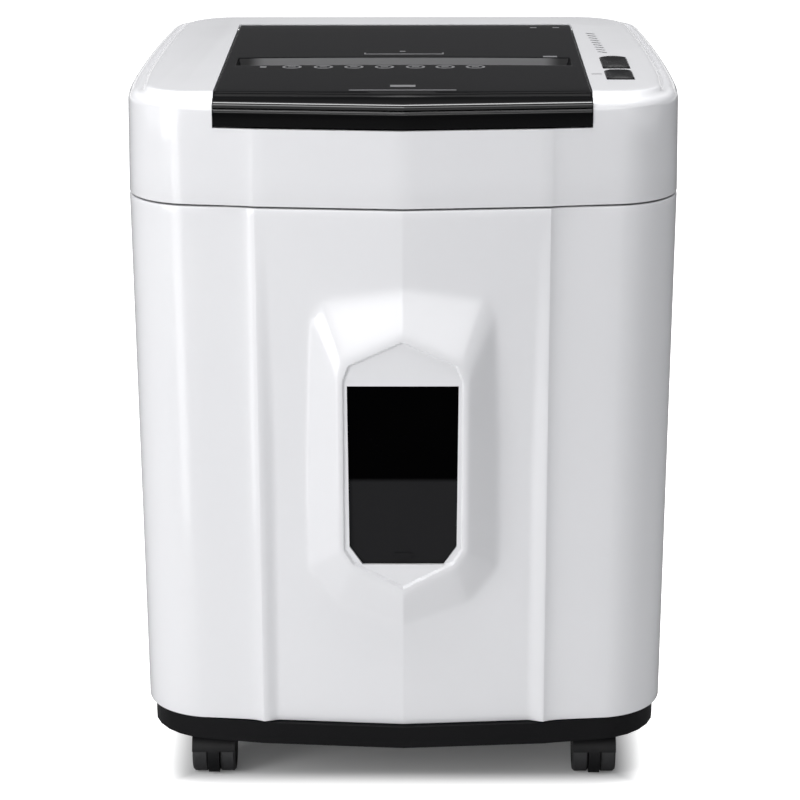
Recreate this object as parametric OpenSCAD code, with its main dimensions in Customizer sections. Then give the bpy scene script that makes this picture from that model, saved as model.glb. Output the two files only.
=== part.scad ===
// Auto-feed paper shredder on casters: pull-out bin, hinged feed lid, geared pair of cutter stacks.
// Millimetres. X to the right, Y to the rear, Z up; the origin is on the floor under the middle.

/* [Body] */
// Width of the housing at the seam under the head
body_w = 376; // [350:1:400]
// Width at the foot of the white panels
foot_w = 370; // [346:1:396]
// Width at the shoulder of the head
top_w = 374; // [350:1:398]
// Depth from the front keel to the rear wall
body_d = 352; // [346:1:370]
// How far the window frame stands in front of the keel
boss_proud = 8; // [6:0.5:11]
// Half the distance between the two front creases
crease_x = 99.5; // [88:0.5:105]
// How far the creases lie behind the keel
crease_back = 8.3; // [5:0.1:10]
// Radius of the front corners
corner_r = 50; // [42:1:54]
// Radius of the rear corners
rear_r = 28; // [22:1:36]
// Outward bow of each side
side_bow = 3.6; // [2:0.1:5]
// Wall of the head and the cabinet
wall = 3; // [2.4:0.1:3.4]
// Wall of the bin front, a double skin
bin_wall = 5; // [4.5:0.1:5.6]

/* [Heights] */
// Floor to the underside of the base
caster_h = 39.5; // [38:0.5:46]
// Height of the black skirt
skirt_h = 16; // [14:0.5:20]
// Height of the white cabinet
cabinet_h = 374.8; // [372:0.2:400]
// Dark seam between the cabinet and the head
seam = 1.2; // [0.8:0.1:1.6]
// Height of the head, seam to lid top
head_h = 75; // [74:0.5:80]
// Height of the raised island above the shoulder
island_h = 6; // [4:0.5:8]

/* [Lid] */
// Width of the feed lid
lid_w = 252; // [246:1:256]
// Length of the feed lid
lid_d = 278; // [274:1:284]
// Gap between the lid and its opening
lid_gap = 0.8; // [0.6:0.1:1.2]
// Thickness of the lid skin
lid_t = 3; // [2.5:0.1:3.5]
// Height of the lid's front lip
lip_h = 21.5; // [18:0.5:24]
// Length of the manual feed slot
slot_l = 230; // [224:1:234]
// Lid front edge to the middle of the slot
slot_from_front = 116; // [112:1:120]
// Width of the slot
slot_gap = 6; // [5:0.5:8]
// Width of the sloped entry round the slot
slot_band = 30; // [24:1:34]
// Radius of the hinge barrel at the lid's rear edge
hinge_r = 4; // [3.5:0.1:5]

/* [Window] */
// Width of the bin window
win_w = 76; // [68:1:80]
// Height of the bin window
win_h = 129; // [115:1:135]
// Seam down to the top edge of the window
win_drop = 120; // [112:1:130]
// Cut corner at the foot of the window
win_cut = 10; // [6:0.5:13]

/* [Bin] */
// Outside width of the tub
tub_w = 322; // [300:1:326]
// Height of the tub
tub_h = 302; // [280:1:305]
// Wall of the tub
tub_wall = 2.5; // [2:0.1:3]
// Room under the tub for its runners
runner_h = 6; // [5:0.5:8]

/* [Cutters] */
// Length of the cutting width
cut_w = 220; // [200:10:220]
// Tip radius of a cutter disc
disc_r = 20; // [19:0.1:20.3]
// Pitch of the discs along one shaft
disc_pitch = 10; // [10:1:11]
// Gap between neighbouring discs of the two shafts
disc_gap = 0.25; // [0.2:0.01:0.4]
// Hooks round each disc
hooks = 9; // [6:1:12]
// Distance between the two cutter shafts
shaft_c = 35; // [35:0.1:35.4]
// Width across the flats of the hex shafts
hex_af = 14; // [12:0.5:15]
// Diameter of the cutter journals
journal_d = 12; // [10:0.5:13]
// Height of the cutter shafts above the seam
cutter_up = 8.5; // [8:0.1:10]

/* [Drive] */
// Thickness of the steel side plates
plate_t = 3; // [2.5:0.1:3.5]
// Diameter of the motor
motor_d = 64; // [56:1:66]
// Length of the motor
motor_l = 105; // [90:1:112]
// Motor axis behind the nip of the cutters
motor_back = 144; // [141:0.5:147]
// Diameter of the feed rollers
roller_d = 26; // [24:0.5:27]
// Feed shafts before and behind the nip
feed_off = 58; // [56:0.5:60]
// Running clearance on radius
run = 0.05; // [0.03:0.01:0.1]

/* [Casters] */
// Wheel diameter
wheel_d = 35; // [32:0.5:37]
// Width across the twin wheels
caster_w = 31; // [28:0.5:34]
// Wheel axle behind the swivel stem
trail = 11; // [9:0.5:13]
// Half the distance between left and right casters
caster_x = 138; // [130:1:142]
// Front and rear casters from the middle
caster_y = 110; // [104:1:116]

/* [Controls] */
// Width of the control keys
key_w = 18.5; // [16:0.5:20]
// Length of the rear key
key_rear_l = 48; // [44:1:52]
// Length of the front key
key_front_l = 36; // [32:1:38]
// Travel of the keys
key_travel = 1.5; // [1:0.1:2]

/* [Hidden] */

white = "#E4E4E8";
black = "#26262A";
steel = "#A9ACB0";
nylon = "#E9E4D2";
rubber = "#1C1C1E";
eps = 0.01;
past = 60; // how far a hollow runs past the open end of its shell

// Heights above the floor
foot_z = caster_h + skirt_h;
cabinet_top = foot_z + cabinet_h;
head_z = cabinet_top + seam;
top_z = head_z + head_h;
island_z = top_z - island_h;
shoulder_z = island_z - 6.5;
skirt_gap = 0.6;
chassis_z = head_z - 44.5;

// Front and rear of the plan
keel_y = -(body_d + boss_proud) / 2 + boss_proud;
rear_y = keel_y + body_d;
corner_set = 65;
corner_y = keel_y + corner_set;
wide_y = keel_y + 157;
split_y = corner_y + 27;
split_gap = 0.8;

// Plan outline, keel first, right side to the rear, then back up the left side
function bow(y) =
    side_bow * pow((y - wide_y) / (y < wide_y ? corner_y - wide_y : rear_y - rear_r - wide_y), 2);
function half_plan(w) =
    let (h = w / 2, cx = h - side_bow - corner_r, rx = h - side_bow - rear_r)
    concat([[crease_x, keel_y + crease_back]],
        [for (i = [0 : 6]) let (a = 9 + i * 13.5) [cx + corner_r * sin(a), corner_y - corner_r * cos(a)]],
        [for (i = [1 : 4]) let (y = corner_y + i * (rear_y - rear_r - corner_y) / 5) [h - bow(y), y]],
        [for (i = [0 : 5]) let (a = i * 18) [rx + rear_r * cos(a), rear_y - rear_r + rear_r * sin(a)]]);
function flip(p) = [-p[0], p[1]];
function plan(w) = let (r = half_plan(w), n = len(r))
    concat([[0, keel_y]], r, [for (i = [n - 1 : -1 : 0]) flip(r[i])]);

// Moves every edge of a convex outline inwards by t
function unit(v) = v / norm(v);
function inward(v) = [-v[1], v[0]];
function shrink(pts, t) = let (n = len(pts)) [for (i = [0 : n - 1])
    let (a = inward(unit(pts[i] - pts[(i + n - 1) % n])), b = inward(unit(pts[(i + 1) % n] - pts[i])))
    pts[i] + t * (a + b) / (1 + a * b)];

// Width of the cabinet and of the head at a height
function cabinet_w(z) = foot_w + (body_w - foot_w) * (z - foot_z) / (head_z - foot_z);
function head_w(z) = body_w + (top_w - body_w) * (z - head_z) / (shoulder_z - head_z);

// The housing outline as a thin slab, a tapering block and a straight block, t inside the surface
module slab(z, w, t) { translate([0, 0, z]) linear_extrude(eps) polygon(shrink(plan(w), t)); }
module cabinet_block(z0, z1, t) {
    hull() {
        slab(z0, cabinet_w(z0), t);
        slab(z1 - eps, cabinet_w(z1), t);
    }
}
module head_block(z0, z1, t) {
    hull() {
        slab(z0, head_w(z0), t);
        slab(z1 - eps, head_w(z1), t);
    }
}
module prism(z0, z1, t, w) { translate([0, 0, z0]) linear_extrude(z1 - z0) polygon(shrink(plan(w), t)); }

// A box from one corner to the opposite one
module box(a, b) { translate(a) cube(b - a); }
// Rounded rectangle, as points
function rounded(x0, x1, y0, y1, r) =
    [for (c = [[x1 - r, y1 - r, 0], [x0 + r, y1 - r, 90], [x0 + r, y0 + r, 180], [x1 - r, y0 + r, 270]],
        i = [0 : 6]) let (a = c[2] + i * 15) [c[0] + r * cos(a), c[1] + r * sin(a)]];
// Something drawn in its own XY plane, stood up with X along Y, Y along Z and its depth along X
module along_x(x, at) { translate([x, at[0], at[1]]) rotate([90, 0, 90]) children(); }
module rod(d, x0, x1, at) { along_x(x0, at) cylinder(d = d, h = x1 - x0, $fn = 48); }
// Something drawn in XZ, stood up with its depth along Y
module along_y(y) { translate([0, y, 0]) rotate([90, 0, 0]) mirror([0, 0, 1]) children(); }

// ---- Base ----
rib_t = 2.5;
floor_t = 3;
plate_lift = 2;
socket_d = 24;
stem_d = 8;
caster_at = [for (y = [-caster_y, caster_y], x = [-caster_x, caster_x]) [x, y]];

module base_tray() color(black) difference() {
    union() {
        difference() {
            prism(caster_h, foot_z, 0, foot_w);
            prism(caster_h - 1, foot_z - floor_t, wall, foot_w);
        }
        for (x = [-90, -30, 30, 90])
            box([x - rib_t / 2, keel_y + wall + 8, caster_h + 2], [x + rib_t / 2, rear_y - wall, foot_z]);
        for (c = caster_at) translate([c[0], c[1], caster_h + plate_lift])
            cylinder(d = socket_d, h = foot_z - caster_h - plate_lift, $fn = 48);
    }
    for (c = caster_at) translate([c[0], c[1], caster_h])
        cylinder(d = stem_d + 2 * run, h = skirt_h - floor_t + 1, $fn = 48);
}

// ---- Cabinet ----
ledge_w = 10;
ledge_t = 4;
ledge_z = cabinet_top - 12;
bridge_h = 10;
bridge_z = chassis_z - 2 - bridge_h;
grip_h = 80;
grip_w = 20;
grip_z = foot_z + 235;

module behind_split(d) { box([-body_w, split_y + d, 0], [body_w, rear_y + 50, top_z + 50]); }

module cabinet_shell() color(white) difference() {
    intersection() {
        union() {
            difference() {
                cabinet_block(foot_z, cabinet_top, 0);
                cabinet_block(foot_z - past, cabinet_top + past, wall);
            }
            difference() {
                prism(ledge_z - ledge_t, ledge_z, 1, body_w);
                prism(ledge_z - ledge_t - 1, ledge_z + 1, wall + ledge_w, body_w);
            }
            box([-body_w / 2 + wall, split_y + 4, bridge_z],
                [body_w / 2 - wall, split_y + 16, bridge_z + bridge_h]);
        }
        behind_split(split_gap / 2);
    }
    along_x(-body_w, [0, 0]) linear_extrude(2 * body_w)
        polygon(rounded(split_y - 30, split_y + grip_w, grip_z, grip_z + grip_h, 12));
    for (p = post_at) translate([p[0], p[1], ledge_z - ledge_t - 1])
        cylinder(d = screw_hole, h = ledge_t + 2, $fn = 24);
}

module bin_runners() color(steel) for (s = [-1, 1]) translate([s * (tub_w / 2 - 24), 0, foot_z])
    difference() {
        box([-9, split_y + 6, 0], [9, rear_y - 40, runner_h - 0.3]);
        box([-6, split_y, 1.5], [6, rear_y - 46, runner_h]);
    }

screw_d = 4;
screw_hole = screw_d + 0.4;
screw_head = 1.6;
// A cross-headed screw driven upwards
module screw(l) {
    cylinder(d = screw_d, h = l, $fn = 24);
    translate([0, 0, -screw_head]) difference() {
        cylinder(d = 2 * screw_d, h = screw_head, $fn = 24);
        for (a = [0, 90]) rotate(a) cube([5, 1, screw_head], center = true);
    }
}

caster_plate = 42;
plate_hole = 15;
module caster_plates() color(steel) for (c = caster_at) translate([c[0], c[1], caster_h])
    difference() {
        translate([-caster_plate / 2, -caster_plate / 2, 0]) cube([caster_plate, caster_plate, plate_lift]);
        translate([0, 0, -1]) cylinder(d = stem_d + 2 * run, h = plate_lift + 2, $fn = 48);
        for (x = [-1, 1], y = [-1, 1]) translate([x * plate_hole, y * plate_hole, -1])
            cylinder(d = screw_hole, h = plate_lift + 2, $fn = 24);
    }

// ---- Bin ----
bin_z = foot_z + skirt_gap;
win_top = cabinet_top - win_drop;
win_bottom = win_top - win_h;
face_z = (win_top + win_bottom) / 2;
ramp_w = 9;
ramp_d = 2.2;
ramp_end = cabinet_top - cabinet_h * 0.48;
frame_side = 6.5;
frame_wide = 15.5;
frame_top = 35;
frame_foot = 21;
frame_fade = 38;

// Hexagonal frame round the window: g = 0 is the ridge, g = 1 is where it fades into the panel
function hexa(g) = let (w = win_w / 2 + frame_side + g * frame_wide, t = win_top, b = win_bottom,
    r = [[w, t + 4 + g * 8], [w - 5, t + 17 + g * 18], [0, t + frame_top + g * frame_fade]],
    f = [[0, b - frame_foot - g * frame_fade], [w - 8 + 2 * g, b - 2 - g * 11], [w, b + 10 - g * 12]])
    concat(r, [flip(r[1]), flip(r[0]), flip(f[2]), flip(f[1])], f);
module hexa_slab(y, g) { along_y(y) linear_extrude(eps) polygon(hexa(g)); }

// Window outline, grown by d all round
module window_2d(d) { polygon([[win_w / 2 + d, win_top + d], [-win_w / 2 - d, win_top + d],
    [-win_w / 2 + 1 - d, win_bottom + win_cut * 1.3], [-win_w / 2 + win_cut - d * 0.5, win_bottom - d],
    [win_w / 2 - win_cut + d * 0.5, win_bottom - d], [win_w / 2 - 1 + d, win_bottom + win_cut * 1.3]]); }

// Outline of what the recessed middle facets lose, d deep
module recess_2d(d) {
    x = crease_x - ramp_w;
    polygon([[0, keel_y - 2], [crease_x, keel_y + crease_back - 2], [crease_x, keel_y + crease_back],
        [x, keel_y + crease_back * x / crease_x + d], [0, keel_y + d]]);
}
module recess() for (s = [0, 1]) mirror([s, 0, 0]) {
    translate([0, 0, bin_z - 1]) linear_extrude(ramp_end - bin_z + 1) recess_2d(ramp_d);
    hull() {
        translate([0, 0, ramp_end - eps]) linear_extrude(eps) recess_2d(ramp_d);
        translate([0, 0, cabinet_top - 8]) linear_extrude(eps) recess_2d(0);
    }
}

face_y = keel_y - boss_proud;
pane_t = 2.5;
ridge_w = 3.5;
ridge_d = 1.6;
pane_step = 3.5;
module bin_front() color(white) difference() {
    union() {
        difference() {
            cabinet_block(bin_z, cabinet_top, 0);
            cabinet_block(bin_z - past, cabinet_top + past, bin_wall);
            behind_split(-split_gap / 2);
            recess();
        }
        hull() { hexa_slab(keel_y + bin_wall - 0.5, 1); hexa_slab(face_y, 0); }
    }
    along_y(face_y - 1) linear_extrude(40) window_2d(0);
    along_y(face_y + pane_step + pane_t) linear_extrude(40) window_2d(4);
    along_y(keel_y + bin_wall - 0.6) linear_extrude(30) polygon(hexa(1.05));
    along_y(face_y - 1) linear_extrude(1 + ridge_d) polygon(shrink(hexa(0), ridge_w));
}

module bin_window() color("#1B1C20") {
    along_y(face_y + pane_step) linear_extrude(pane_t) window_2d(-0.15);
    along_y(face_y + pane_step + pane_t) linear_extrude(pane_t) window_2d(3.8);
    box([-6, face_y + pane_step - 0.8, win_bottom + 4], [6, face_y + pane_step, win_bottom + 8]);
}

tub_front = keel_y + crease_back + bin_wall + 14;
tub_rear = rear_y - wall - 20;
tub_z = foot_z + runner_h;
rim_w = 6;
tub_r = 24;
module bin_tub() color(black) difference() {
    union() {
        translate([0, 0, tub_z]) linear_extrude(tub_h)
            polygon(rounded(-tub_w / 2, tub_w / 2, tub_front, tub_rear, tub_r));
        translate([0, 0, tub_z + tub_h - 3]) linear_extrude(3)
            polygon(rounded(-tub_w / 2 - rim_w, tub_w / 2 + rim_w, tub_front - 2, tub_rear + rim_w, 28));
        for (x = [-60, 60], z = [[8, 30], [tub_h - 40, tub_h - 10]])
            box([x - 8, keel_y + bin_wall + 0.7 + crease_back * abs(x) / crease_x, tub_z + z[0]],
                [x + 8, tub_front + 1, tub_z + z[1]]);
    }
    translate([0, 0, tub_z + tub_wall]) linear_extrude(tub_h)
        polygon(rounded(-tub_w / 2 + tub_wall, tub_w / 2 - tub_wall,
            tub_front + tub_wall, tub_rear - tub_wall, tub_r - tub_wall));
    along_y(tub_front - 5) linear_extrude(12) window_2d(-2);
}

// ---- Head housing ----
lid_y0 = keel_y + 22;
lid_y1 = lid_y0 + lid_d;
lid_edge = 6;
island_r = 32;
island_x = top_w / 2 - 10;
island_y1 = rear_y - 12;
slant = 3;
module island_slab(z, d) { translate([0, 0, z]) linear_extrude(eps)
    polygon(rounded(-island_x - d, island_x + d, lid_y0 - 1 - d, island_y1 + d, island_r)); }

key_x0 = lid_w / 2 + 13.5;
key_x1 = key_x0 + key_w;
key_front_y = lid_y0 + 46;
key_rear_y = key_front_y + key_front_l + 6;
key_gap = 0.4;
arch = 5;
// Key outlines: the rear one has an arched far edge, the front one cut far corners
module key_rear_2d(d) { polygon(concat([[key_x0 - d, key_rear_y - d], [key_x1 + d, key_rear_y - d]],
    [for (i = [0 : 8]) let (u = 1 - i / 4) [(key_x0 + key_x1) / 2 + u * (key_w / 2 + d),
        key_rear_y + key_rear_l - arch * u * u + d]])); }
module key_front_2d(d) { polygon([[key_x0 - d, key_front_y - d], [key_x1 + d, key_front_y - d],
    [key_x1 + d, key_front_y + key_front_l - 4], [key_x1 - 4, key_front_y + key_front_l + d],
    [key_x0 + 4, key_front_y + key_front_l + d], [key_x0 - d, key_front_y + key_front_l - 4]]); }

vents = 14;
vent_w = 2.8;
vent_pitch = 8;
inlet_w = 48;
inlet_h = 27;
inlet_x = 104;
inlet_z = head_z + 31;
switch_w = 14;
post_at = [for (x = [-1, 1], y = [split_y + 14, rear_y - 30]) [x * (body_w / 2 - bow(y) - 9.4), y]];
post_d = 9;
hinge_y = lid_y1 - hinge_r;
hinge_z = top_z - hinge_r;
pin_d = 3;
pin_l = 14;
notch_z = top_z - lip_h - lid_gap;
chassis_lip = 8;

// Brackets under the rim of the lid opening carry the paper tray
bracket_l = 24;
bracket_at = [lid_y0 + 30, lid_y0 + 120, lid_y0 + 210];
module tray_bracket(y) {
    x = lid_w / 2 + lid_gap;
    z = tray_rim_z - tray_t;
    box([x, y, z - 3], [x + 3, y + bracket_l, top_z - 1]);
    box([x - 8, y, z - 3], [x + 1, y + bracket_l, z]);
}

module head_shell() color(white) difference() {
    union() {
        difference() {
            union() {
                head_block(head_z, shoulder_z, 0);
                hull() { slab(shoulder_z - eps, top_w, 0); slab(shoulder_z + 4, top_w, 1.6); }
                hull() { slab(shoulder_z + 4 - eps, top_w, 1.6); slab(island_z, top_w, 5); }
                hull() { island_slab(island_z - 4, slant); island_slab(top_z - eps, 0); }
            }
            head_block(head_z - past, shoulder_z + 1, wall);
            translate([0, 0, shoulder_z]) linear_extrude(island_z - wall - shoulder_z)
                polygon(shrink(plan(top_w), wall + 3));
            translate([0, 0, island_z - wall - 1]) linear_extrude(island_h + 1)
                polygon(rounded(wall - island_x, island_x - wall, lid_y0 + wall, island_y1 - wall, 29));
        }
        for (p = post_at) translate([p[0], p[1], ledge_z + 3])
            cylinder(d = post_d, h = shoulder_z - ledge_z - 2, $fn = 32);
        for (s = [-1, 1]) translate([s * (lid_w / 2 + lid_gap + 5), hinge_y, 0])
            box([-5, -7, hinge_z - 5], [5, 7, top_z - 1]);
        for (s = [0, 1], y = bracket_at) mirror([s, 0, 0]) tray_bracket(y);
        for (p = board_screws) translate([p[0], p[1], board_z])
            cylinder(d = 6, h = top_z - board_z - 1, $fn = 24);
    }
    for (p = board_screws) translate([p[0], p[1], board_z - 1])
        cylinder(d = 2.4, h = 10, $fn = 24);
    box([-lid_w / 2 - lid_gap, lid_y0 - 0.5, top_z - wall - 1],
        [lid_w / 2 + lid_gap, lid_y1 + lid_gap, top_z + 5]);
    box([-lid_w / 2 - lid_gap, keel_y - 20, notch_z], [lid_w / 2 + lid_gap, lid_y0 + wall + 1, top_z + 5]);
    translate([0, 0, shoulder_z]) linear_extrude(40) { key_rear_2d(key_gap); key_front_2d(key_gap); }
    for (p = post_at) translate([p[0], p[1], ledge_z]) cylinder(d = screw_d, h = 20, $fn = 24);
    rod(pin_d, -lid_w / 2 - pin_l, lid_w / 2 + pin_l, [hinge_y, hinge_z]);
    for (i = [0 : vents - 1]) translate([(i - vents / 2) * vent_pitch - 30, rear_y - 20, head_z + 18])
        cube([vent_w, 40, 32]);
    translate([inlet_x, rear_y, inlet_z]) cube([inlet_w + 0.4, 40, inlet_h + 0.4], center = true);
}

// ---- Head chassis: the black tray that closes the head from below ----
outlet_y = 26;
nip_y = lid_y0 + slot_from_front;
module chassis_cut(z0, z1, t) { prism(z0, z1, t, body_w); }
module head_chassis() color(black) difference() {
    union() {
        chassis_cut(chassis_z, ledge_z + 3, wall + ledge_w + 1);
        chassis_cut(ledge_z, ledge_z + 3, wall + 2.4);
        chassis_cut(ledge_z + 3 - eps, head_z + chassis_lip, wall + 2.4);
    }
    chassis_cut(chassis_z + wall, ledge_z + 4, wall + ledge_w + 1 + wall);
    chassis_cut(ledge_z + 3, head_z + chassis_lip + 1, wall + 5);
    box([-cut_w / 2 - 1, nip_y - outlet_y, chassis_z - 1],
        [cut_w / 2 + 1, nip_y + outlet_y, chassis_z + wall + 1]);
    for (p = post_at) translate([p[0], p[1], ledge_z - 1]) {
        cylinder(d = screw_hole, h = 30, $fn = 24);
        translate([0, 0, 4]) cylinder(d = post_d + 0.6, h = 30, $fn = 32);
    }
    for (i = [0 : 9]) translate([-60 + i * vent_pitch, motor_axis[0] - 20, chassis_z - 1])
        cube([vent_w, 40, wall + 2]);
}
module housing_screws() color(steel) {
    for (p = post_at) translate([p[0], p[1], ledge_z - ledge_t]) screw(ledge_t + 15);
    for (c = caster_at, x = [-1, 1], y = [-1, 1])
        translate([c[0] + x * plate_hole, c[1] + y * plate_hole, caster_h]) screw(plate_lift);
}

// ---- Paper tray under the lid ----
tray_w = 222;
tray_t = 2.5;
tray_z = top_z - 38;
tray_rim_z = top_z - 7;
tray_y0 = lid_y0 + 4;
tray_y1 = hinge_y - 9;
throat_w = 14;
module tray_block(d, z0, z1) { translate([0, 0, z0]) linear_extrude(z1 - z0)
    polygon(rounded(-tray_w / 2 - d, tray_w / 2 + d, tray_y0 - d + tray_t, tray_y1 + d - tray_t, 8)); }
module paper_tray() color(black) difference() {
    union() {
        tray_block(tray_t, tray_z - tray_t, tray_rim_z);
        box([-lid_w / 2 + 0.5, tray_y0 + 0.4, tray_rim_z - tray_t],
            [lid_w / 2 - 0.5, tray_y1 + 2, tray_rim_z]);
        box([-cut_w / 2 - 2, nip_y - throat_w / 2 - 2, tray_z - 6],
            [cut_w / 2 + 2, nip_y + throat_w / 2 + 2, tray_z - 1]);
        for (x = [-60, 60])
            box([x - 14, keel_y + wall + 6.5, notch_z - 6], [x + 14, tray_y0 + 1, notch_z - 3]);
    }
    tray_block(0, tray_z, tray_rim_z + 1);
    box([-cut_w / 2, nip_y - throat_w / 2, tray_z - 10], [cut_w / 2, nip_y + throat_w / 2, tray_z + 1]);
    box([-slot_l / 2 - 6, nip_y - slot_band / 2 - 5, tray_rim_z - 9],
        [slot_l / 2 + 6, nip_y + slot_band / 2 + 8, tray_rim_z + 1]);
    for (x = tyre_x, y = [-feed_off, feed_off]) translate([x, nip_y + y, tray_z])
        cube([tyre_w + 3, roller_d - 2, 10], center = true);
}

// ---- Cutting block ----
cut_z = head_z + cutter_up;
front_axis = [nip_y - shaft_c / 2, cut_z];
rear_axis = [nip_y + shaft_c / 2, cut_z];
feed_z = tray_z + 1.5 - roller_d / 2;
feed_front_axis = [nip_y - feed_off, feed_z];
feed_rear_axis = [nip_y + feed_off, feed_z];
motor_axis = [nip_y + motor_back, cut_z - 10];
plate_x = cut_w / 2 + disc_pitch / 4 + 2.2;
hub_r = shaft_c - disc_r - 0.6;
disc_n = floor(cut_w / disc_pitch);
bush_d = 18;
tie_d = 10;
tie_tip = 5;
nose_d = 22;
tie_at = [[nip_y - 78, cut_z - 28], [nip_y + 68, cut_z - 30], [nip_y + 104, cut_z + 4]];
feed_d = 8;
tyre_w = 26;
tyre_x = [-46, 46];

// Saw-toothed disc outline: each hook rises steeply and runs out in a long back
hook_depth = 2.6;
module disc_2d() {
    hook = [[0, disc_r - hook_depth], [0.07, disc_r], [0.36, disc_r], [0.68, disc_r]];
    polygon([for (i = [0 : hooks - 1], p = hook)
        let (a = (i + p[0]) * 360 / hooks) p[1] * [cos(a), sin(a)]]);
}
module hex_bore(d) { circle(d = (hex_af + 2 * d) / cos(30), $fn = 6); }
disc_t = disc_pitch / 2 - disc_gap;
helix_step = 11;
// One cutter disc with its spacer hub, keyed to the hex shaft; the hooks advance from disc to disc
module cutter_discs(axis, shift, hand) for (i = [0 : disc_n - 1])
    along_x(-cut_w / 2 + (i + shift) * disc_pitch, axis) difference() {
        union() {
            translate([0, 0, disc_gap / 2]) linear_extrude(disc_t)
                rotate(hand * i * helix_step) scale([hand, 1]) disc_2d();
            translate([0, 0, disc_gap / 2]) linear_extrude(disc_pitch - disc_gap) circle(r = hub_r, $fn = 12);
        }
        translate([0, 0, -1]) linear_extrude(disc_pitch + 2) hex_bore(0.1);
    }
module cutter_discs_front() color(steel) cutter_discs(front_axis, -0.25, -1);
module cutter_discs_rear() color(steel) cutter_discs(rear_axis, 0.25, 1);

module cutter_shaft(axis, x0, x1) {
    along_x(-cut_w / 2 - disc_pitch / 4, axis) linear_extrude(cut_w + disc_pitch / 2) hex_bore(0);
    rod(journal_d, x0, x1, axis);
}
gear_x = plate_x + plate_t + 3;
sync_w = 10;
shaft_x0 = -gear_x - sync_w - 2;
module cutter_shaft_front() color(steel) cutter_shaft(front_axis, shaft_x0, plate_x + plate_t + 2);
module cutter_shaft_rear() color(steel) cutter_shaft(rear_axis, shaft_x0, outer_x);

module cutter_bushes() color("#B08D4A") for (a = [front_axis, rear_axis], s = [0, 1]) mirror([s, 0, 0])
    along_x(plate_x - 1.5, a) difference() {
        union() {
            cylinder(d = bush_d, h = plate_t + 2.5, $fn = 48);
            cylinder(d = bush_d + 3, h = 1.5, $fn = 48);
        }
        translate([0, 0, -1]) cylinder(d = journal_d + 2 * run, h = plate_t + 6, $fn = 48);
    }

// Comb that strips shreds out of the grooves between the discs
comb_back = 27;
module comb(axis, shift, s) {
    along_x(-plate_x, axis) linear_extrude(2 * plate_x) polygon([[s * (comb_back - 4.5), -14],
        [s * comb_back, -14], [s * comb_back, 10], [s * (comb_back - 4.5), 10]]);
    for (i = [0 : disc_n - 1]) along_x(-cut_w / 2 + (i + shift + 0.5) * disc_pitch + 0.6, axis)
        linear_extrude(disc_pitch / 2 - 1.2) difference() {
            polygon([[s * 8, -10], [s * comb_back, -10], [s * comb_back, 6], [s * 12, 6]]);
            circle(r = hub_r + 1.4, $fn = 12);
        }
}
module comb_front() color(nylon) comb(front_axis, -0.25, -1);
module comb_rear() color(nylon) comb(rear_axis, 0.25, 1);

module plate_2d() { polygon([[nip_y - 86, cut_z - 40], [nip_y + 110, cut_z - 40], [nip_y + 182, cut_z - 44],
    [nip_y + 182, cut_z + 10], [nip_y + 150, tray_z - 5], [nip_y - 72, tray_z - 5],
    [nip_y - 86, tray_z - 16]]); }
// Bent feet that stand the side plates on the chassis floor
foot_at = [nip_y - 84, nip_y + 158];
foot_l = 22;
foot_out = 11;
module plate_feet() for (y = foot_at) {
    box([plate_x, y, chassis_z + wall], [plate_x + plate_t, y + foot_l, cut_z - 38]);
    box([plate_x, y, chassis_z + wall], [plate_x + foot_out, y + foot_l, chassis_z + wall + plate_t]);
}
module plate_holes() {
    for (a = [front_axis, rear_axis]) translate(a) circle(d = bush_d, $fn = 48);
    for (a = [feed_front_axis, feed_rear_axis]) translate(a) circle(d = feed_d + 2 * run, $fn = 48);
    for (a = tie_at) translate(a) circle(d = tie_tip, $fn = 24);
}
module side_plate_left() color(steel) {
    along_x(-plate_x - plate_t, [0, 0]) linear_extrude(plate_t) difference() {
        plate_2d();
        plate_holes();
    }
    mirror([1, 0, 0]) plate_feet();
    for (a = [idler_front_axis, idler_rear_axis]) rod(idler_pin, -gear_x - sync_w - 2, -plate_x - eps, a);
}
module side_plate_right() color(steel) {
    along_x(plate_x, [0, 0]) linear_extrude(plate_t) difference() {
        plate_2d();
        plate_holes();
        translate(motor_axis) circle(d = nose_d, $fn = 48);
    }
    plate_feet();
    for (a = [first_axis, second_axis]) rod(gear_pin, plate_x + eps, outer_x, a);
}
module tie_bars() color(steel) for (a = tie_at) {
    rod(tie_d, -plate_x, plate_x, a);
    rod(tie_tip, -plate_x - plate_t, plate_x + plate_t, a);
}

// ---- Gears ----
function inv(a) = tan(a) - a * PI / 180;
// Half the angle of a tooth at radius r, for n teeth of module m
function tooth_half(n, m, r) =
    let (rb = n * m / 2 * cos(20), a = r > rb ? acos(rb / r) : 0)
    (90 - backlash * 180 / PI / m) / n + (inv(20) - inv(a)) * 180 / PI;
backlash = 0.09;
function tooth_radii(n, m) =
    let (rp = n * m / 2, root = rp - 1.3 * m, rb = rp * cos(20), tip = rp + 0.9 * m)
    n > 30 ? [root, rp, tip] : [root, max(root + 0.1, rb + 0.02 * m), rp - 0.2 * m, rp + 0.35 * m, tip];
function gear_points(n, m) =
    let (r = tooth_radii(n, m), k = len(r))
    [for (i = [0 : n - 1], j = [0 : 2 * k - 1])
        let (q = j < k ? j : 2 * k - 1 - j, s = j < k ? -1 : 1, a = i * 360 / n + s * tooth_half(n, m, r[q]))
        r[q] * [cos(a), sin(a)]];
module gear(n, m, w, bore, turn) {
    difference() {
        linear_extrude(w) rotate(turn) polygon(gear_points(n, m));
        translate([0, 0, -1]) cylinder(d = bore, h = w + 2, $fn = 48);
    }
}
// Turn of gear b so that it meshes with gear a, for centres in the plane of the gears
function bearing(a, b) = atan2(b[1] - a[1], b[0] - a[0]);
function mesh_turn(a, na, ta, b, nb) =
    let (t = bearing(a, b)) t + 180 - 360 / nb * (0.5 - (t - ta) * na / 360);
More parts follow.
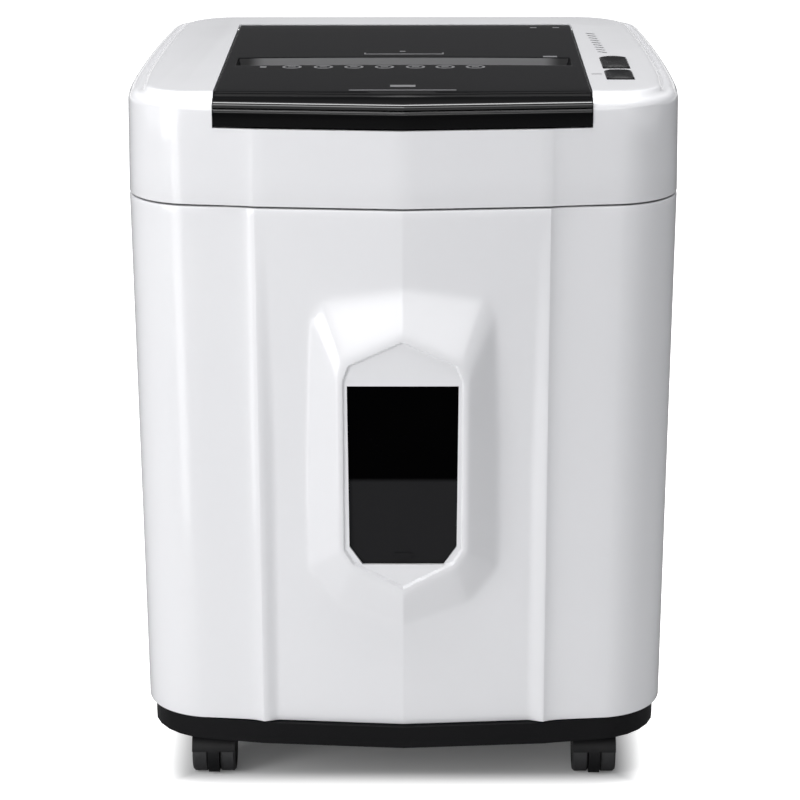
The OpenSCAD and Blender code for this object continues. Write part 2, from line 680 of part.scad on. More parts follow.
// Centre at distance ra from a and rb from b, on the side s of the line between them
function meet(a, ra, b, rb, s) =
    let (d = norm(b - a), u = (b - a) / d, k = (ra * ra - rb * rb + d * d) / (2 * d))
    a + k * u + s * sqrt(ra * ra - k * k) * [-u[1], u[0]];

sync_n = 20;
sync_m = shaft_c / sync_n;
idler_n = 16;
feed_n = 18;
idler_pin = 6;
gear_pin = 6;
sync_idler = sync_m * (sync_n + idler_n) / 2;
idler_feed = sync_m * (idler_n + feed_n) / 2;
idler_front_axis = meet(front_axis, sync_idler, feed_front_axis, idler_feed, 1);
idler_rear_axis = meet(rear_axis, sync_idler, feed_rear_axis, idler_feed, -1);
sync_rear_turn = 0;
sync_front_turn = mesh_turn(rear_axis, sync_n, sync_rear_turn, front_axis, sync_n);
idler_front_turn = mesh_turn(front_axis, sync_n, sync_front_turn, idler_front_axis, idler_n);
idler_rear_turn = mesh_turn(rear_axis, sync_n, sync_rear_turn, idler_rear_axis, idler_n);
feed_front_turn = mesh_turn(idler_front_axis, idler_n, idler_front_turn, feed_front_axis, feed_n);
feed_rear_turn = mesh_turn(idler_rear_axis, idler_n, idler_rear_turn, feed_rear_axis, feed_n);
module left_gear(axis, n, bore, turn) { along_x(-gear_x - sync_w, axis) gear(n, sync_m, sync_w, bore, turn); }
module sync_gear_front() color(steel) left_gear(front_axis, sync_n, journal_d, sync_front_turn);
module sync_gear_rear() color(steel) left_gear(rear_axis, sync_n, journal_d, sync_rear_turn);
module idler_front() color(nylon) left_gear(idler_front_axis, idler_n, idler_pin + 2 * run, idler_front_turn);
module idler_rear() color(nylon) left_gear(idler_rear_axis, idler_n, idler_pin + 2 * run, idler_rear_turn);
module feed_gear_front() color(nylon) left_gear(feed_front_axis, feed_n, feed_d, feed_front_turn);
module feed_gear_rear() color(nylon) left_gear(feed_rear_axis, feed_n, feed_d, feed_rear_turn);

// Reduction: motor pinion, first gear, second gear, drive gear on the rear cutter shaft
pinion_n = 14;
first_n = 58;
first_m = 1;
mid_n = 15;
second_n = 48;
second_m = 1.5;
last_n = 14;
drive_n = 32;
drive_m = 2;
plane_1 = gear_x;
plane_2 = plane_1 + 10;
plane_3 = plane_2 + 10;
outer_x = plane_3 + 18;
second_drop = 11;
second_axis = rear_axis + drive_m * (drive_n + last_n) / 2 * [cos(second_drop), -sin(second_drop)];
first_second = second_m * (second_n + mid_n) / 2;
motor_first = first_m * (first_n + pinion_n) / 2;
first_axis = meet(second_axis, first_second, motor_axis, motor_first, 1);
drive_turn = 0;
last_turn = mesh_turn(rear_axis, drive_n, drive_turn, second_axis, last_n);
second_turn = 0;
mid_turn = mesh_turn(second_axis, second_n, second_turn, first_axis, mid_n);
first_turn = 0;
pinion_turn = mesh_turn(first_axis, first_n, first_turn, motor_axis, pinion_n);
module drive_gear() color(steel)
    along_x(plane_3, rear_axis) gear(drive_n, drive_m, 12, journal_d, drive_turn);
module second_gear() color(steel) difference() {
    union() {
        along_x(plane_2, second_axis) gear(second_n, second_m, 8, gear_pin + 2 * run, second_turn);
        along_x(plane_2 + 8 - eps, second_axis) gear(last_n, drive_m, 14, gear_pin + 2 * run, last_turn);
    }
    for (a = [0 : 60 : 300]) along_x(plane_2 - 1, second_axis + 26 * [cos(a), sin(a)])
        cylinder(d = 10, h = 10, $fn = 32);
}
module first_gear() color(nylon) difference() {
    union() {
        along_x(plane_1, first_axis) gear(first_n, first_m, 8, gear_pin + 2 * run, first_turn);
        along_x(plane_1 + 8 - eps, first_axis) gear(mid_n, second_m, 10, gear_pin + 2 * run, mid_turn);
    }
    for (a = [0 : 60 : 300]) along_x(plane_1 - 1, first_axis + 20 * [cos(a), sin(a)])
        cylinder(d = 8, h = 5, $fn = 32);
}

shaft_d = 6;
fan_r = 27;
fan_x = plate_x - motor_l - 6;
module motor_shaft() color(steel) {
    rod(shaft_d, fan_x - 12, plane_1 + 9, motor_axis);
    along_x(plane_1, motor_axis) linear_extrude(8)
        rotate(pinion_turn) polygon(gear_points(pinion_n, first_m));
}
module motor() color("#6E7176") difference() {
    union() {
        rod(motor_d, plate_x - motor_l, plate_x, motor_axis);
        rod(nose_d, plate_x - 1, plate_x + plate_t, motor_axis);
        rod(24, plate_x - motor_l - 3, plate_x, motor_axis);
    }
    rod(shaft_d + 2 * run, plate_x - motor_l - 10, plate_x + 10, motor_axis);
    for (a = [0 : 45 : 315]) along_x(plate_x - motor_l - 4, motor_axis) rotate(a) translate([20, -3, 0])
        cube([8, 6, 12]);
}
module cooling_fan() color(black) along_x(fan_x - 10, motor_axis) difference() {
    union() {
        cylinder(r = 8, h = 10, $fn = 32);
        for (a = [0 : 45 : 315]) rotate(a) translate([6, 0, 1]) rotate([35, 0, 0]) translate([0, -1, -1])
            cube([fan_r - 7, 2, 9]);
    }
    translate([0, 0, -1]) cylinder(d = shaft_d, h = 14, $fn = 48);
}
module gear_plate() color(steel) difference() {
    union() {
        along_x(outer_x - plate_t, [nip_y, cut_z]) linear_extrude(plate_t)
            polygon([[-36, -22], [70, -26], [164, -8], [164, 16], [10, 16], [-36, -6]]);
        for (a = tie_end) rod(9, plate_x + plate_t, outer_x - plate_t, a);
    }
    rod(journal_d + 2 * run, outer_x - plate_t - 1, outer_x + 1, rear_axis);
    for (a = [first_axis, second_axis]) rod(gear_pin, outer_x - plate_t - 1, outer_x + 1, a);
}
tie_end = [[nip_y - 28, cut_z - 14], [nip_y + 156, cut_z + 6]];

// ---- Feed rollers ----
module feed_shaft(a) { rod(feed_d, -gear_x - sync_w - 1, plate_x + plate_t + 1, a); }
module feed_tyres(a) {
    for (x = tyre_x) along_x(x - tyre_w / 2, a) difference() {
        cylinder(d = roller_d, h = tyre_w, $fn = 64);
        translate([0, 0, -1]) cylinder(d = feed_d, h = tyre_w + 2, $fn = 48);
        for (k = [0 : 15]) rotate(k * 22.5) translate([roller_d / 2 - 1, -0.6, -1])
            cube([3, 1.2, tyre_w + 2]);
    }
}
module feed_shaft_front() color(steel) feed_shaft(feed_front_axis);
module feed_shaft_rear() color(steel) feed_shaft(feed_rear_axis);
module feed_tyres_front() color(rubber) feed_tyres(feed_front_axis);
module feed_tyres_rear() color(rubber) feed_tyres(feed_rear_axis);

// ---- Controls ----
board_z = top_z - 17;
board_screws = [[lid_w / 2 + 9, key_front_y - 4], [lid_w / 2 + 9, key_rear_y + key_rear_l + 55],
    [lid_w / 2 + 34, key_rear_y + key_rear_l + 20]];
module control_board() color("#1E6B3C") {
    difference() {
        box([lid_w / 2 + 5, key_front_y - 8, board_z - 1.6],
            [lid_w / 2 + 38, key_rear_y + key_rear_l + 60, board_z]);
        for (p = board_screws) translate([p[0], p[1], board_z - 3]) cylinder(d = 3.2, h = 5, $fn = 24);
    }
    for (y = [key_front_y + key_front_l / 2, key_rear_y + key_rear_l / 2])
        translate([(key_x0 + key_x1) / 2, y, board_z - eps]) {
            translate([-3, -3, 0]) cube([6, 6, 3.5]);
            cylinder(d = 3, h = 4.5, $fn = 24);
        }
    for (i = [0 : 4]) translate([lid_w / 2 + 13, key_rear_y + key_rear_l + 8 + i * 10, board_z - eps])
        cylinder(d = 3, h = 5, $fn = 24);
    box([lid_w / 2 + 18, key_rear_y + key_rear_l + 44, board_z - eps],
        [lid_w / 2 + 32, key_rear_y + key_rear_l + 54, board_z + 6]);
}
key_proud = 0.8;
key_t = 3;
module key_stem(y) {
    translate([(key_x0 + key_x1) / 2, y, board_z + 4.5 + key_travel + 0.1])
        cylinder(d = 6, h = top_z - board_z - 4.5 - key_travel - key_t, $fn = 32);
}
module key_rear() color(black) {
    translate([0, 0, top_z + key_proud - key_t]) linear_extrude(key_t) key_rear_2d(0);
    key_stem(key_rear_y + key_rear_l / 2);
}
module key_front() color(black) {
    translate([0, 0, top_z + key_proud - key_t]) linear_extrude(key_t) key_front_2d(0);
    key_stem(key_front_y + key_front_l / 2);
}

inlet_l = 26;
rocker_x = inlet_x - inlet_w / 2 + switch_w / 2 + 4;
socket_x = inlet_x + inlet_w / 2 - 17;
rocker_d = 21;
rocker_axis = [rear_y - 5.5, inlet_z];
module power_inlet() color(black) difference() {
    translate([inlet_x, rear_y - inlet_l / 2, inlet_z]) cube([inlet_w, inlet_l, inlet_h], center = true);
    translate([socket_x, rear_y - 8, inlet_z]) cube([22, 20, 16], center = true);
    translate([rocker_x, rear_y - 8, inlet_z]) cube([switch_w - 3, 20, rocker_d + 1], center = true);
}
module power_rocker() color("#8C1B1B") difference() {
    along_x(rocker_x - switch_w / 2 + 2, rocker_axis) linear_extrude(switch_w - 4)
        polygon([[-5, -9.2], [2, -9.2], [3.4, 0], [5, 8], [1.5, 9.2], [-5, 9.2]]);
    rod(3, rocker_x - 10, rocker_x + 10, rocker_axis);
}

// ---- Lid ----
lid_under = top_z - lid_edge;
function lip_y(x) = keel_y + crease_back * abs(x) / crease_x + 1;
// Cross-section of the lid's folded nose where its front stands at y
function nose(y) = [[lid_y0 + 4, top_z], [y + 5, top_z], [y, top_z - 3], [y, top_z - lip_h],
    [y + 3, top_z - lip_h], [lid_y0 + 4, top_z - lip_h + 12]];
module nose_slab(x) { along_x(x, [0, 0]) linear_extrude(eps) polygon(nose(lip_y(x))); }
module nose_cut(x, t) {
    y = lip_y(x) + t;
    along_x(x, [0, 0]) linear_extrude(eps) polygon([[lid_y0 + 5, top_z - lid_t], [y + 3, top_z - lid_t],
        [y, top_z - lid_t - 3], [y, top_z - lip_h - 1], [lid_y0 + 5, top_z - lip_h - 1]]);
}
// Sloped entry, narrow at its foot and wide at its mouth, where the middle bows to the rear
slot_bow = 3.5;
function entry_y(u, wide) = nip_y + (wide ? slot_bow * (1 - u * u) : 0);
module entry_2d(g, half, wide) {
    x = slot_l / 2 + g;
    polygon(concat([for (u = [-1 : 0.25 : 1]) [u * x, entry_y(u, wide) - half]],
        [for (u = [1 : -0.25 : -1]) [u * x, entry_y(u, wide) + half]]));
}
trough_d = 11;
module lid_cover() color("#1A1A1D") difference() {
    union() {
        box([-lid_w / 2, lid_y0 + 3.9, top_z - lid_t], [lid_w / 2, hinge_y + 1, top_z]);
        for (s = [0, 1]) mirror([s, 0, 0]) {
            box([lid_w / 2 - 2, lid_y0 + 3.9, lid_under], [lid_w / 2, hinge_y, top_z - 1]);
            difference() {
                hull() { nose_slab(0); nose_slab(lid_w / 2 - eps); }
                hull() { nose_cut(0, lid_t); nose_cut(lid_w / 2 - 2, lid_t); }
            }
        }
        rod(2 * hinge_r, -lid_w / 2, lid_w / 2, [hinge_y, hinge_z]);
        hull() {
            translate([0, 0, top_z - lid_t]) linear_extrude(eps) entry_2d(3, slot_band / 2, true);
            translate([0, 0, top_z - trough_d - lid_t]) linear_extrude(eps) entry_2d(0, slot_band / 8, false);
        }
    }
    hull() {
        translate([0, 0, top_z + eps]) linear_extrude(eps) entry_2d(3, slot_band / 2, true);
        translate([0, 0, top_z - trough_d]) linear_extrude(eps) entry_2d(-1, slot_band / 8 - 1, false);
    }
    box([-slot_l / 2, nip_y - slot_gap / 2, top_z - 30],
        [slot_l / 2, nip_y + slot_gap / 2, top_z + 1]);
    rod(pin_d + 2 * run, -lid_w / 2 - 5, -lid_w / 2 + pin_l, [hinge_y, hinge_z]);
    rod(pin_d + 2 * run, lid_w / 2 - pin_l, lid_w / 2 + 5, [hinge_y, hinge_z]);
}
module lid_pins() color(steel) for (s = [0, 1]) mirror([s, 0, 0])
    rod(pin_d, lid_w / 2 - 10, lid_w / 2 + lid_gap + 9, [hinge_y, hinge_z]);

post_x = 45;
post_r = 4;
guide_r = 6.5;
guide_at = [for (x = [-post_x, post_x], y = [-feed_off, feed_off]) [x, nip_y + y]];
liner_z = lid_under + 0.1;
module lid_liner() color(black) difference() {
    union() {
        box([-lid_w / 2 + 2.3, lid_y0 + 6, liner_z], [lid_w / 2 - 2.3, hinge_y - hinge_r - 1, top_z - lid_t]);
        for (p = guide_at) translate([p[0], p[1], liner_z - 12]) cylinder(r = guide_r, h = 13, $fn = 48);
    }
    box([-slot_l / 2 - 6, nip_y - slot_band / 2 - 4, liner_z - 1],
        [slot_l / 2 + 6, nip_y + slot_band / 2 + 8, top_z]);
    for (p = guide_at) translate([p[0], p[1], liner_z - 20]) cylinder(r = post_r + run, h = 40, $fn = 48);
}
press_w = 150;
press_l = 44;
press_z = feed_z + roller_d / 2 + 1;
press_travel = 7;
module presser(y) {
    difference() {
        translate([0, 0, press_z]) linear_extrude(2.5)
            polygon(rounded(-press_w / 2, press_w / 2, nip_y + y - press_l / 2, nip_y + y + press_l / 2, 8));
        for (x = [-64, 64]) translate([x, nip_y + y, press_z - 1]) cylinder(d = 10, h = 5, $fn = 32);
    }
    for (x = [-post_x, post_x]) translate([x, nip_y + y, press_z + 2]) {
        cylinder(r = post_r, h = top_z - lid_t - press_travel - 1.5 - press_z - 2, $fn = 48);
        cylinder(r = post_r + 2, h = 2, $fn = 48);
    }
}
module presser_front() color(black) presser(-feed_off);
module presser_rear() color(black) presser(feed_off);

// Touch latch under the push mark: a sprung plunger in a small housing
latch_y = tray_y0 - 6;
latch_d = 7;
module latch_body() color(black) difference() {
    box([-9, tray_y0 - 12, tray_rim_z - 22], [9, tray_y0 - eps, tray_rim_z - 4]);
    translate([0, latch_y, tray_rim_z - 19]) cylinder(d = latch_d + 2 * run, h = 30, $fn = 48);
}
latch_travel = 3;
module latch_plunger() color(steel) translate([0, latch_y, tray_rim_z - 15])
    cylinder(d = latch_d, h = liner_z - (tray_rim_z - 15) - 0.3, $fn = 48);

// ---- Casters: twin wheels under a hood, wheel axle trailing the stem ----
hub_w = 8;
axle_d = 5;
hub_gap = 0.4;
tread_w = (caster_w - hub_w) / 2 - hub_gap;
hub_cap = 2.5;
axle_l = hub_w + 2 * (hub_gap + tread_w - hub_cap - 0.3);
hood_gap = 0.8;
hood_r = wheel_d / 2 + hood_gap + 1.2;
axle_z = wheel_d / 2;
hood_top = caster_h - 0.6;
// Something drawn about the Z axis, turned onto the wheel axle with its depth starting at x
module on_axle(x) { translate([x, -trail, axle_z]) rotate([0, 90, 0]) children(); }
module wheel_room() for (s = [0, 1]) mirror([s, 0, 0])
    on_axle(hub_w / 2) cylinder(r = wheel_d / 2 + hood_gap, h = caster_w, $fn = 64);
module caster_fork(c) translate([c[0], c[1], 0]) {
    difference() {
        union() {
            on_axle(-hub_w / 2) cylinder(r = hood_r, h = hub_w, $fn = 64);
            difference() {
                on_axle(-caster_w / 2) cylinder(r = hood_r, h = caster_w, $fn = 64);
                wheel_room();
                box([-caster_w, -trail - 60, -10], [caster_w, 60, axle_z + 4]);
            }
            translate([0, 0, hood_top - 12]) cylinder(d = hub_w + 8, h = 12, $fn = 48);
            translate([0, 0, hood_top - 6]) cylinder(d = stem_d, h = skirt_h - floor_t + 6, $fn = 48);
        }
        box([-caster_w, -trail - 60, hood_top], [caster_w, -stem_d, 200]);
        wheel_room();
        box([-caster_w, -trail - 60, -10], [caster_w, 60, 3]);
        on_axle(-caster_w) cylinder(d = axle_d, h = 2 * caster_w, $fn = 32);
    }
    on_axle(-axle_l / 2) cylinder(d = axle_d, h = axle_l, $fn = 32);
}
module caster_wheel(c) translate([c[0], c[1], 0]) for (s = [0, 1]) mirror([s, 0, 0])
    on_axle(hub_w / 2 + hub_gap) difference() {
        r = wheel_d / 2;
        rotate_extrude($fn = 64) polygon([[0, 0], [r - 1, 0], [r, 1], [r, tread_w - 1.5], [r - 1.5, tread_w],
            [r - 4, tread_w], [r - 5, tread_w - 1.5], [0, tread_w - 1.5]]);
        translate([0, 0, -1]) cylinder(d = axle_d + 2 * run, h = 1 + tread_w - hub_cap, $fn = 32);
    }
module caster_fork_fl() color(black) caster_fork([-caster_x, -caster_y]);
module caster_fork_fr() color(black) caster_fork([caster_x, -caster_y]);
module caster_fork_rl() color(black) caster_fork([-caster_x, caster_y]);
module caster_fork_rr() color(black) caster_fork([caster_x, caster_y]);
module caster_wheel_fl() color(rubber) caster_wheel([-caster_x, -caster_y]);
module caster_wheel_fr() color(rubber) caster_wheel([caster_x, -caster_y]);
module caster_wheel_rl() color(rubber) caster_wheel([-caster_x, caster_y]);
module caster_wheel_rr() color(rubber) caster_wheel([caster_x, caster_y]);

base_tray();
cabinet_shell();
bin_runners();
caster_plates();
housing_screws();
bin_front();
bin_window();
bin_tub();
head_shell();
head_chassis();
paper_tray();
side_plate_left();
side_plate_right();
tie_bars();
cutter_bushes();
comb_front();
comb_rear();
motor();
gear_plate();
control_board();
power_inlet();
power_rocker();
cutter_shaft_front();
cutter_discs_front();
sync_gear_front();
cutter_shaft_rear();
cutter_discs_rear();
sync_gear_rear();
drive_gear();
motor_shaft();
cooling_fan();
first_gear();
second_gear();
idler_front();
idler_rear();
feed_shaft_front();
feed_tyres_front();
feed_gear_front();
feed_shaft_rear();
feed_tyres_rear();
feed_gear_rear();
lid_cover();
lid_liner();
lid_pins();
presser_front();
presser_rear();
latch_body();
latch_plunger();
key_rear();
key_front();
caster_fork_fl();
caster_fork_fr();
caster_fork_rl();
caster_fork_rr();
caster_wheel_fl();
caster_wheel_fr();
caster_wheel_rl();
caster_wheel_rr();
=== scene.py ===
import math

import bmesh
import bpy
import numpy as np
from mathutils import Matrix, Vector


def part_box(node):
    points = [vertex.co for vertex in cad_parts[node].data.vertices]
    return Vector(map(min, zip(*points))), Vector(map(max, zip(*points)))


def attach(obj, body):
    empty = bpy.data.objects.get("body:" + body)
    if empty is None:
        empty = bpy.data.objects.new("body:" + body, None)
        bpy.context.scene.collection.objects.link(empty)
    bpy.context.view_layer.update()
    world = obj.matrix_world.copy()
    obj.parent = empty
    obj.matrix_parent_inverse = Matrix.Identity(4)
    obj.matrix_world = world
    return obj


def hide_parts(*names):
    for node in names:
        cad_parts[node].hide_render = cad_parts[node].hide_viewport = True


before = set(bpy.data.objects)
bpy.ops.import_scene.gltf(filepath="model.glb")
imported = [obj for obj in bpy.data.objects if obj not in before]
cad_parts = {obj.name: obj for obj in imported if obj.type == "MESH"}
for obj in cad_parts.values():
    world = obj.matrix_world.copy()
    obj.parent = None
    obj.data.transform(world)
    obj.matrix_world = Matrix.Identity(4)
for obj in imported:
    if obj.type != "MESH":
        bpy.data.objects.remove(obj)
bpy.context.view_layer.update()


# ---- Base tray and caster plates ----
# A shallow tray of black ABS under the whole cabinet, injection moulded with a fine spark-eroded
# grain. Four zinc-plated plates are screwed under its corners and carry the caster stems.
MM = 0.001


class Signal:
    """A socket in a material. Sums on it add Math nodes, and node() adds any other kind."""

    def __init__(self, tree, socket=None):
        self.tree, self.socket = tree, socket

    def node(self, kind, settings, sockets, out=0):
        made = self.tree.nodes.new("ShaderNode" + kind)
        for name, value in settings.items():
            setattr(made, name, value)
        for name, value in sockets.items():
            if isinstance(value, Signal):
                self.tree.links.new(value.socket, made.inputs[name])
            else:
                made.inputs[name].default_value = value
        return Signal(self.tree, made.outputs[out])

    def maths(self, operation, first, second=0.0):
        return self.node("Math", {"operation": operation}, {0: first, 1: second})

    def __add__(self, other):
        return self.maths("ADD", self, other)

    def __sub__(self, other):
        return self.maths("SUBTRACT", self, other)

    def __rsub__(self, other):
        return self.maths("SUBTRACT", other, self)

    def __mul__(self, other):
        return self.maths("MULTIPLY", self, other)

    def __gt__(self, other):
        return self.maths("GREATER_THAN", self, other)

    def __lt__(self, other):
        return self.maths("LESS_THAN", self, other)

    __radd__, __rmul__ = __add__, __mul__

    def size(self):
        """The value without its sign."""
        return self.maths("ABSOLUTE", self)

    def rise(self, low, high):
        """0 below low, 1 above high, and smooth between them."""
        return self.node("MapRange", {"interpolation_type": "SMOOTHSTEP"},
                         {"Value": self, "From Min": low, "From Max": high})

    def mix(self, first, second):
        """The colour first where this is 0, and second where it is 1."""
        return self.node("Mix", {"data_type": "RGBA"}, {0: self, 6: first, 7: second}, out=2)

    def noise(self, scale, detail=2.0, stretch=(1.0, 1.0, 1.0)):
        at = self.node("Mapping", {}, {"Vector": self, "Scale": stretch})
        return self.node("TexNoise", {}, {"Vector": at, "Scale": scale, "Detail": detail})

    def cells(self, scale):
        """Distance to the middle of the nearest cell, as in crystals of zinc."""
        return self.node("TexVoronoi", {}, {"Vector": self, "Scale": scale})

    def part(self, axis):
        """One of the three parts of a vector."""
        return self.node("SeparateXYZ", {}, {0: self}, out="XYZ".index(axis))

    def bump(self, depth):
        return self.node("Bump", {}, {"Height": self, "Distance": depth})


def finish(name, surface, **fixed):
    """A material: surface(place) gives what varies, and fixed gives the shader's constants."""
    material = bpy.data.materials.new(name)
    material.use_nodes = True
    tree = material.node_tree
    shader = tree.nodes["Principled BSDF"]
    for socket, value in fixed.items():
        shader.inputs[socket.replace("_", " ")].default_value = value
    place = Signal(tree).node("TexCoord", {}, {}, out=3)
    for socket, signal in surface(place).items():
        tree.links.new(signal.socket, shader.inputs[socket])
    return material


def dress(material, *nodes):
    """Gives CAD nodes a finish, with curved faces shaded smooth and real edges kept."""
    for name in nodes:
        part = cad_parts[name]
        mesh = part.data
        if "custom_normal" in mesh.attributes:
            mesh.attributes.remove(mesh.attributes["custom_normal"])
        mesh.polygons.foreach_set("use_smooth", [True] * len(mesh.polygons))
        mesh.materials.clear()
        mesh.materials.append(material)
        weld = part.modifiers.new("weld", "WELD")
        weld.merge_threshold = 1e-6
        split = part.modifiers.new("edges", "EDGE_SPLIT")
        split.split_angle = math.radians(28)


def grained_black(place):
    cloud = place.noise(9.0, 3.0)
    grain = place.noise(1900.0, 3.0)
    return {"Base Color": cloud.mix((0.0045, 0.0045, 0.005, 1), (0.008, 0.008, 0.009, 1)),
            "Roughness": 0.36 + grain * 0.2, "Normal": grain.bump(0.00006)}


def zinc(place):
    spangle = place.cells(160.0)
    return {"Base Color": spangle.mix((0.52, 0.53, 0.55, 1), (0.70, 0.71, 0.73, 1)),
            "Roughness": 0.3 + spangle * 0.25, "Normal": place.noise(240.0).bump(0.00004)}


black_abs = finish("black_abs", grained_black, IOR=1.22)
zinc_plate = finish("zinc_plate", zinc, Metallic=1.0)
dress(black_abs, "base_tray")
dress(zinc_plate, "caster_plates", "bin_runners", "housing_screws")


# ---- Casters ----
# Twin-wheel furniture casters: a black nylon hood swivels on a steel stem, and two moulded
# wheels with a soft tread turn on one short axle that trails the stem.
def tread(place):
    scuff = place.noise(70.0, 4.0)
    return {"Base Color": scuff.mix((0.012, 0.012, 0.013, 1), (0.032, 0.032, 0.034, 1)),
            "Roughness": 0.5 + scuff * 0.25, "Normal": place.noise(800.0).bump(0.00008)}


caster_nylon = finish("caster_nylon", grained_black, IOR=1.3)
caster_tread = finish("caster_tread", tread)
for corner in ("fl", "fr", "rl", "rr"):
    dress(caster_nylon, "caster_fork_" + corner)
    dress(caster_tread, "caster_wheel_" + corner)


# ---- Cabinet ----
# The rear and sides of the cabinet are one gloss white ABS moulding, open at the front for the
# bin, with a scooped finger grip in each front edge. It is screwed to the base tray.
def gloss_white(place):
    cloud = place.noise(5.0, 2.0)
    ripple = place.noise(55.0, 1.0)
    return {"Base Color": cloud.mix((0.735, 0.735, 0.755, 1), (0.775, 0.775, 0.79, 1)),
            "Roughness": 0.2 + place.noise(14.0, 3.0) * 0.08, "Normal": ripple.bump(0.00002)}


base_low, base_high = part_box("base_tray")
shell_low, shell_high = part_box("cabinet_shell")
KEEL_Y, REAR_Y = base_low.y, base_high.y
# Heights: top of the base tray, top of the cabinet, seam, start of the head's roll, top of the lid.
FOOT_Z, SHELL_TOP = base_high.z, shell_high.z
SEAM_Z = SHELL_TOP + 1.2 * MM
TOP_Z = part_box("lid_cover")[1].z
ROLL_Z = TOP_Z - 11.5 * MM
# Half widths at the foot and at the seam, where the mouldings stand proud of their plain solids.
OVERHANG = 2 * MM
FOOT_HALF, BODY_HALF = base_high.x + OVERHANG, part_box("head_shell")[1].x + OVERHANG
# The front is a keel between two creases, then a hollowed flank up to each round front corner.
CREASE_X, CREASE_BACK = 99.5 * MM, 8.3 * MM
HEAD_HOLLOW, CABINET_HOLLOW, HOLLOW_REACH = 1.1 * MM, 2.8 * MM, 6 * MM
CORNER_R, CORNER_Y, CORNER_TURN = 50 * MM, KEEL_Y + 65 * MM, 9
KEEL_STEPS, FLANK_STEPS, CORNER_STEPS, SIDE_STEPS, REAR_STEPS, BACK_STEPS = 12, 8, 28, 26, 16, 10
# The sides are widest at WIDE_Y. FOOT_REAR and TOP_REAR are the rear corners' radius and bow.
SIDE_BOW, WIDE_Y = 1.5 * MM, KEEL_Y + 100 * MM
FOOT_REAR, TOP_REAR = np.array((28, 3.6)) * MM, np.array((38, 8)) * MM
SPLIT_Y = CORNER_Y + 27 * MM


def span(first, last, count):
    """Points from first towards last, without last."""
    t = np.linspace(0, 1, count, endpoint=False)[:, None]
    return np.array(first) * (1 - t) + np.array(last) * t


def arc(centre, radius, start, end, count):
    """Points of an arc in degrees, 0 along X, without the last."""
    a = np.radians(np.linspace(start, end, count, endpoint=False))
    return np.array(centre) + radius * np.stack([np.cos(a), np.sin(a)], 1)


def mirrored(half):
    """The whole outline from its right half, which starts at the front middle."""
    return np.concatenate([half, half[-2:0:-1] * (-1, 1)])


def bow(y, rear_bow, rear_y):
    """How far a side is drawn in from its widest line, towards its front and its rear corner."""
    ahead = SIDE_BOW * ((y - WIDE_Y) / (CORNER_Y - WIDE_Y)) ** 2
    return np.where(y < WIDE_Y, ahead, rear_bow * ((y - WIDE_Y) / (rear_y - WIDE_Y)) ** 2)


def housing_plan(half_w, z):
    """Outline of the housing at height z, where it is 2 * half_w wide, round from the keel."""
    rise = min(max((z - FOOT_Z) / (ROLL_Z - FOOT_Z), 0), 1)
    rear_r, rear_bow = FOOT_REAR * (1 - rise) + TOP_REAR * rise
    cx, rx, ry = half_w - SIDE_BOW - CORNER_R, half_w - rear_bow - rear_r, REAR_Y - rear_r
    turn = math.radians(CORNER_TURN)
    corner = (cx + CORNER_R * math.sin(turn), CORNER_Y - CORNER_R * math.cos(turn))
    crease = np.array((CREASE_X, KEEL_Y + CREASE_BACK))
    share = np.linspace(0, 1, FLANK_STEPS, endpoint=False)[:, None] ** 1.6
    flank = crease * (1 - share) + np.array(corner) * share
    hollow = CABINET_HOLLOW if z < SEAM_Z else HEAD_HOLLOW
    past_crease = 1 - np.exp((crease[0] - flank[:, 0]) / HOLLOW_REACH)
    flank[:, 1] += hollow * past_crease * (1 - share[:, 0])
    y = np.linspace(CORNER_Y, ry, SIDE_STEPS)[1:-1]
    return mirrored(np.concatenate([
        span((0, KEEL_Y), crease, KEEL_STEPS), flank,
        arc((cx, CORNER_Y), CORNER_R, CORNER_TURN - 90, 0, CORNER_STEPS),
        [(half_w - SIDE_BOW, CORNER_Y)], np.stack([half_w - bow(y, rear_bow, ry), y], 1),
        arc((rx, ry), rear_r, 0, 90, REAR_STEPS),
        span((rx, REAR_Y), (0, REAR_Y), BACK_STEPS), [(0, REAR_Y)]]))


def inset(points, t):
    """The outline moved inwards by t."""
    back, on = points - np.roll(points, 1, 0), np.roll(points, -1, 0) - points
    a = np.stack([-back[:, 1], back[:, 0]], 1) / np.linalg.norm(back, axis=1)[:, None]
    b = np.stack([-on[:, 1], on[:, 0]], 1) / np.linalg.norm(on, axis=1)[:, None]
    return points + t * (a + b) / (1 + (a * b).sum(1))[:, None]


def level(points, z):
    """The points of an outline at height z."""
    return np.column_stack([points, np.full(len(points), float(z))])


def rings(loops, closed=True, ends=()):
    """Faces between loops of equal length; ends names the loops that get a flat cap."""
    n, faces = len(loops[0]), []
    for k in range(len(loops) - 1):
        for j in range(n if closed else n - 1):
            i = (j + 1) % n
            faces.append((k * n + j, k * n + i, (k + 1) * n + i, (k + 1) * n + j))
    for k in ends:
        row = list(range(k * n, k * n + n))
        faces.append(row if k else row[::-1])
    return np.concatenate(loops), faces


def wrapped(loops, capped=True):
    """A wall between open lines, each next to the last, that closes on its first line."""
    n, whole = len(loops[0]), len(loops) * len(loops[0])
    verts, faces = rings(loops + loops[:1], closed=False)
    faces = [[i % whole for i in face] for face in faces]
    if capped:
        faces.append(list(range(0, whole, n))[::-1])
        faces.append(list(range(n - 1, whole, n)))
    return verts[:whole], faces


def extruded(points, low, high, plane="xy"):
    """A straight block over an outline drawn in that plane."""
    order = [plane.index(axis) if axis in plane else 2 for axis in "xyz"]
    points = np.array(points, float)
    loops = [np.column_stack([points, np.full(len(points), d)])[:, order] for d in (low, high)]
    return rings(loops, ends=(0, 1))


def rectangle(x0, x1, y0, y1):
    """The four corners, in the order that outlines run."""
    return [(x0, y0), (x1, y0), (x1, y1), (x0, y1)]


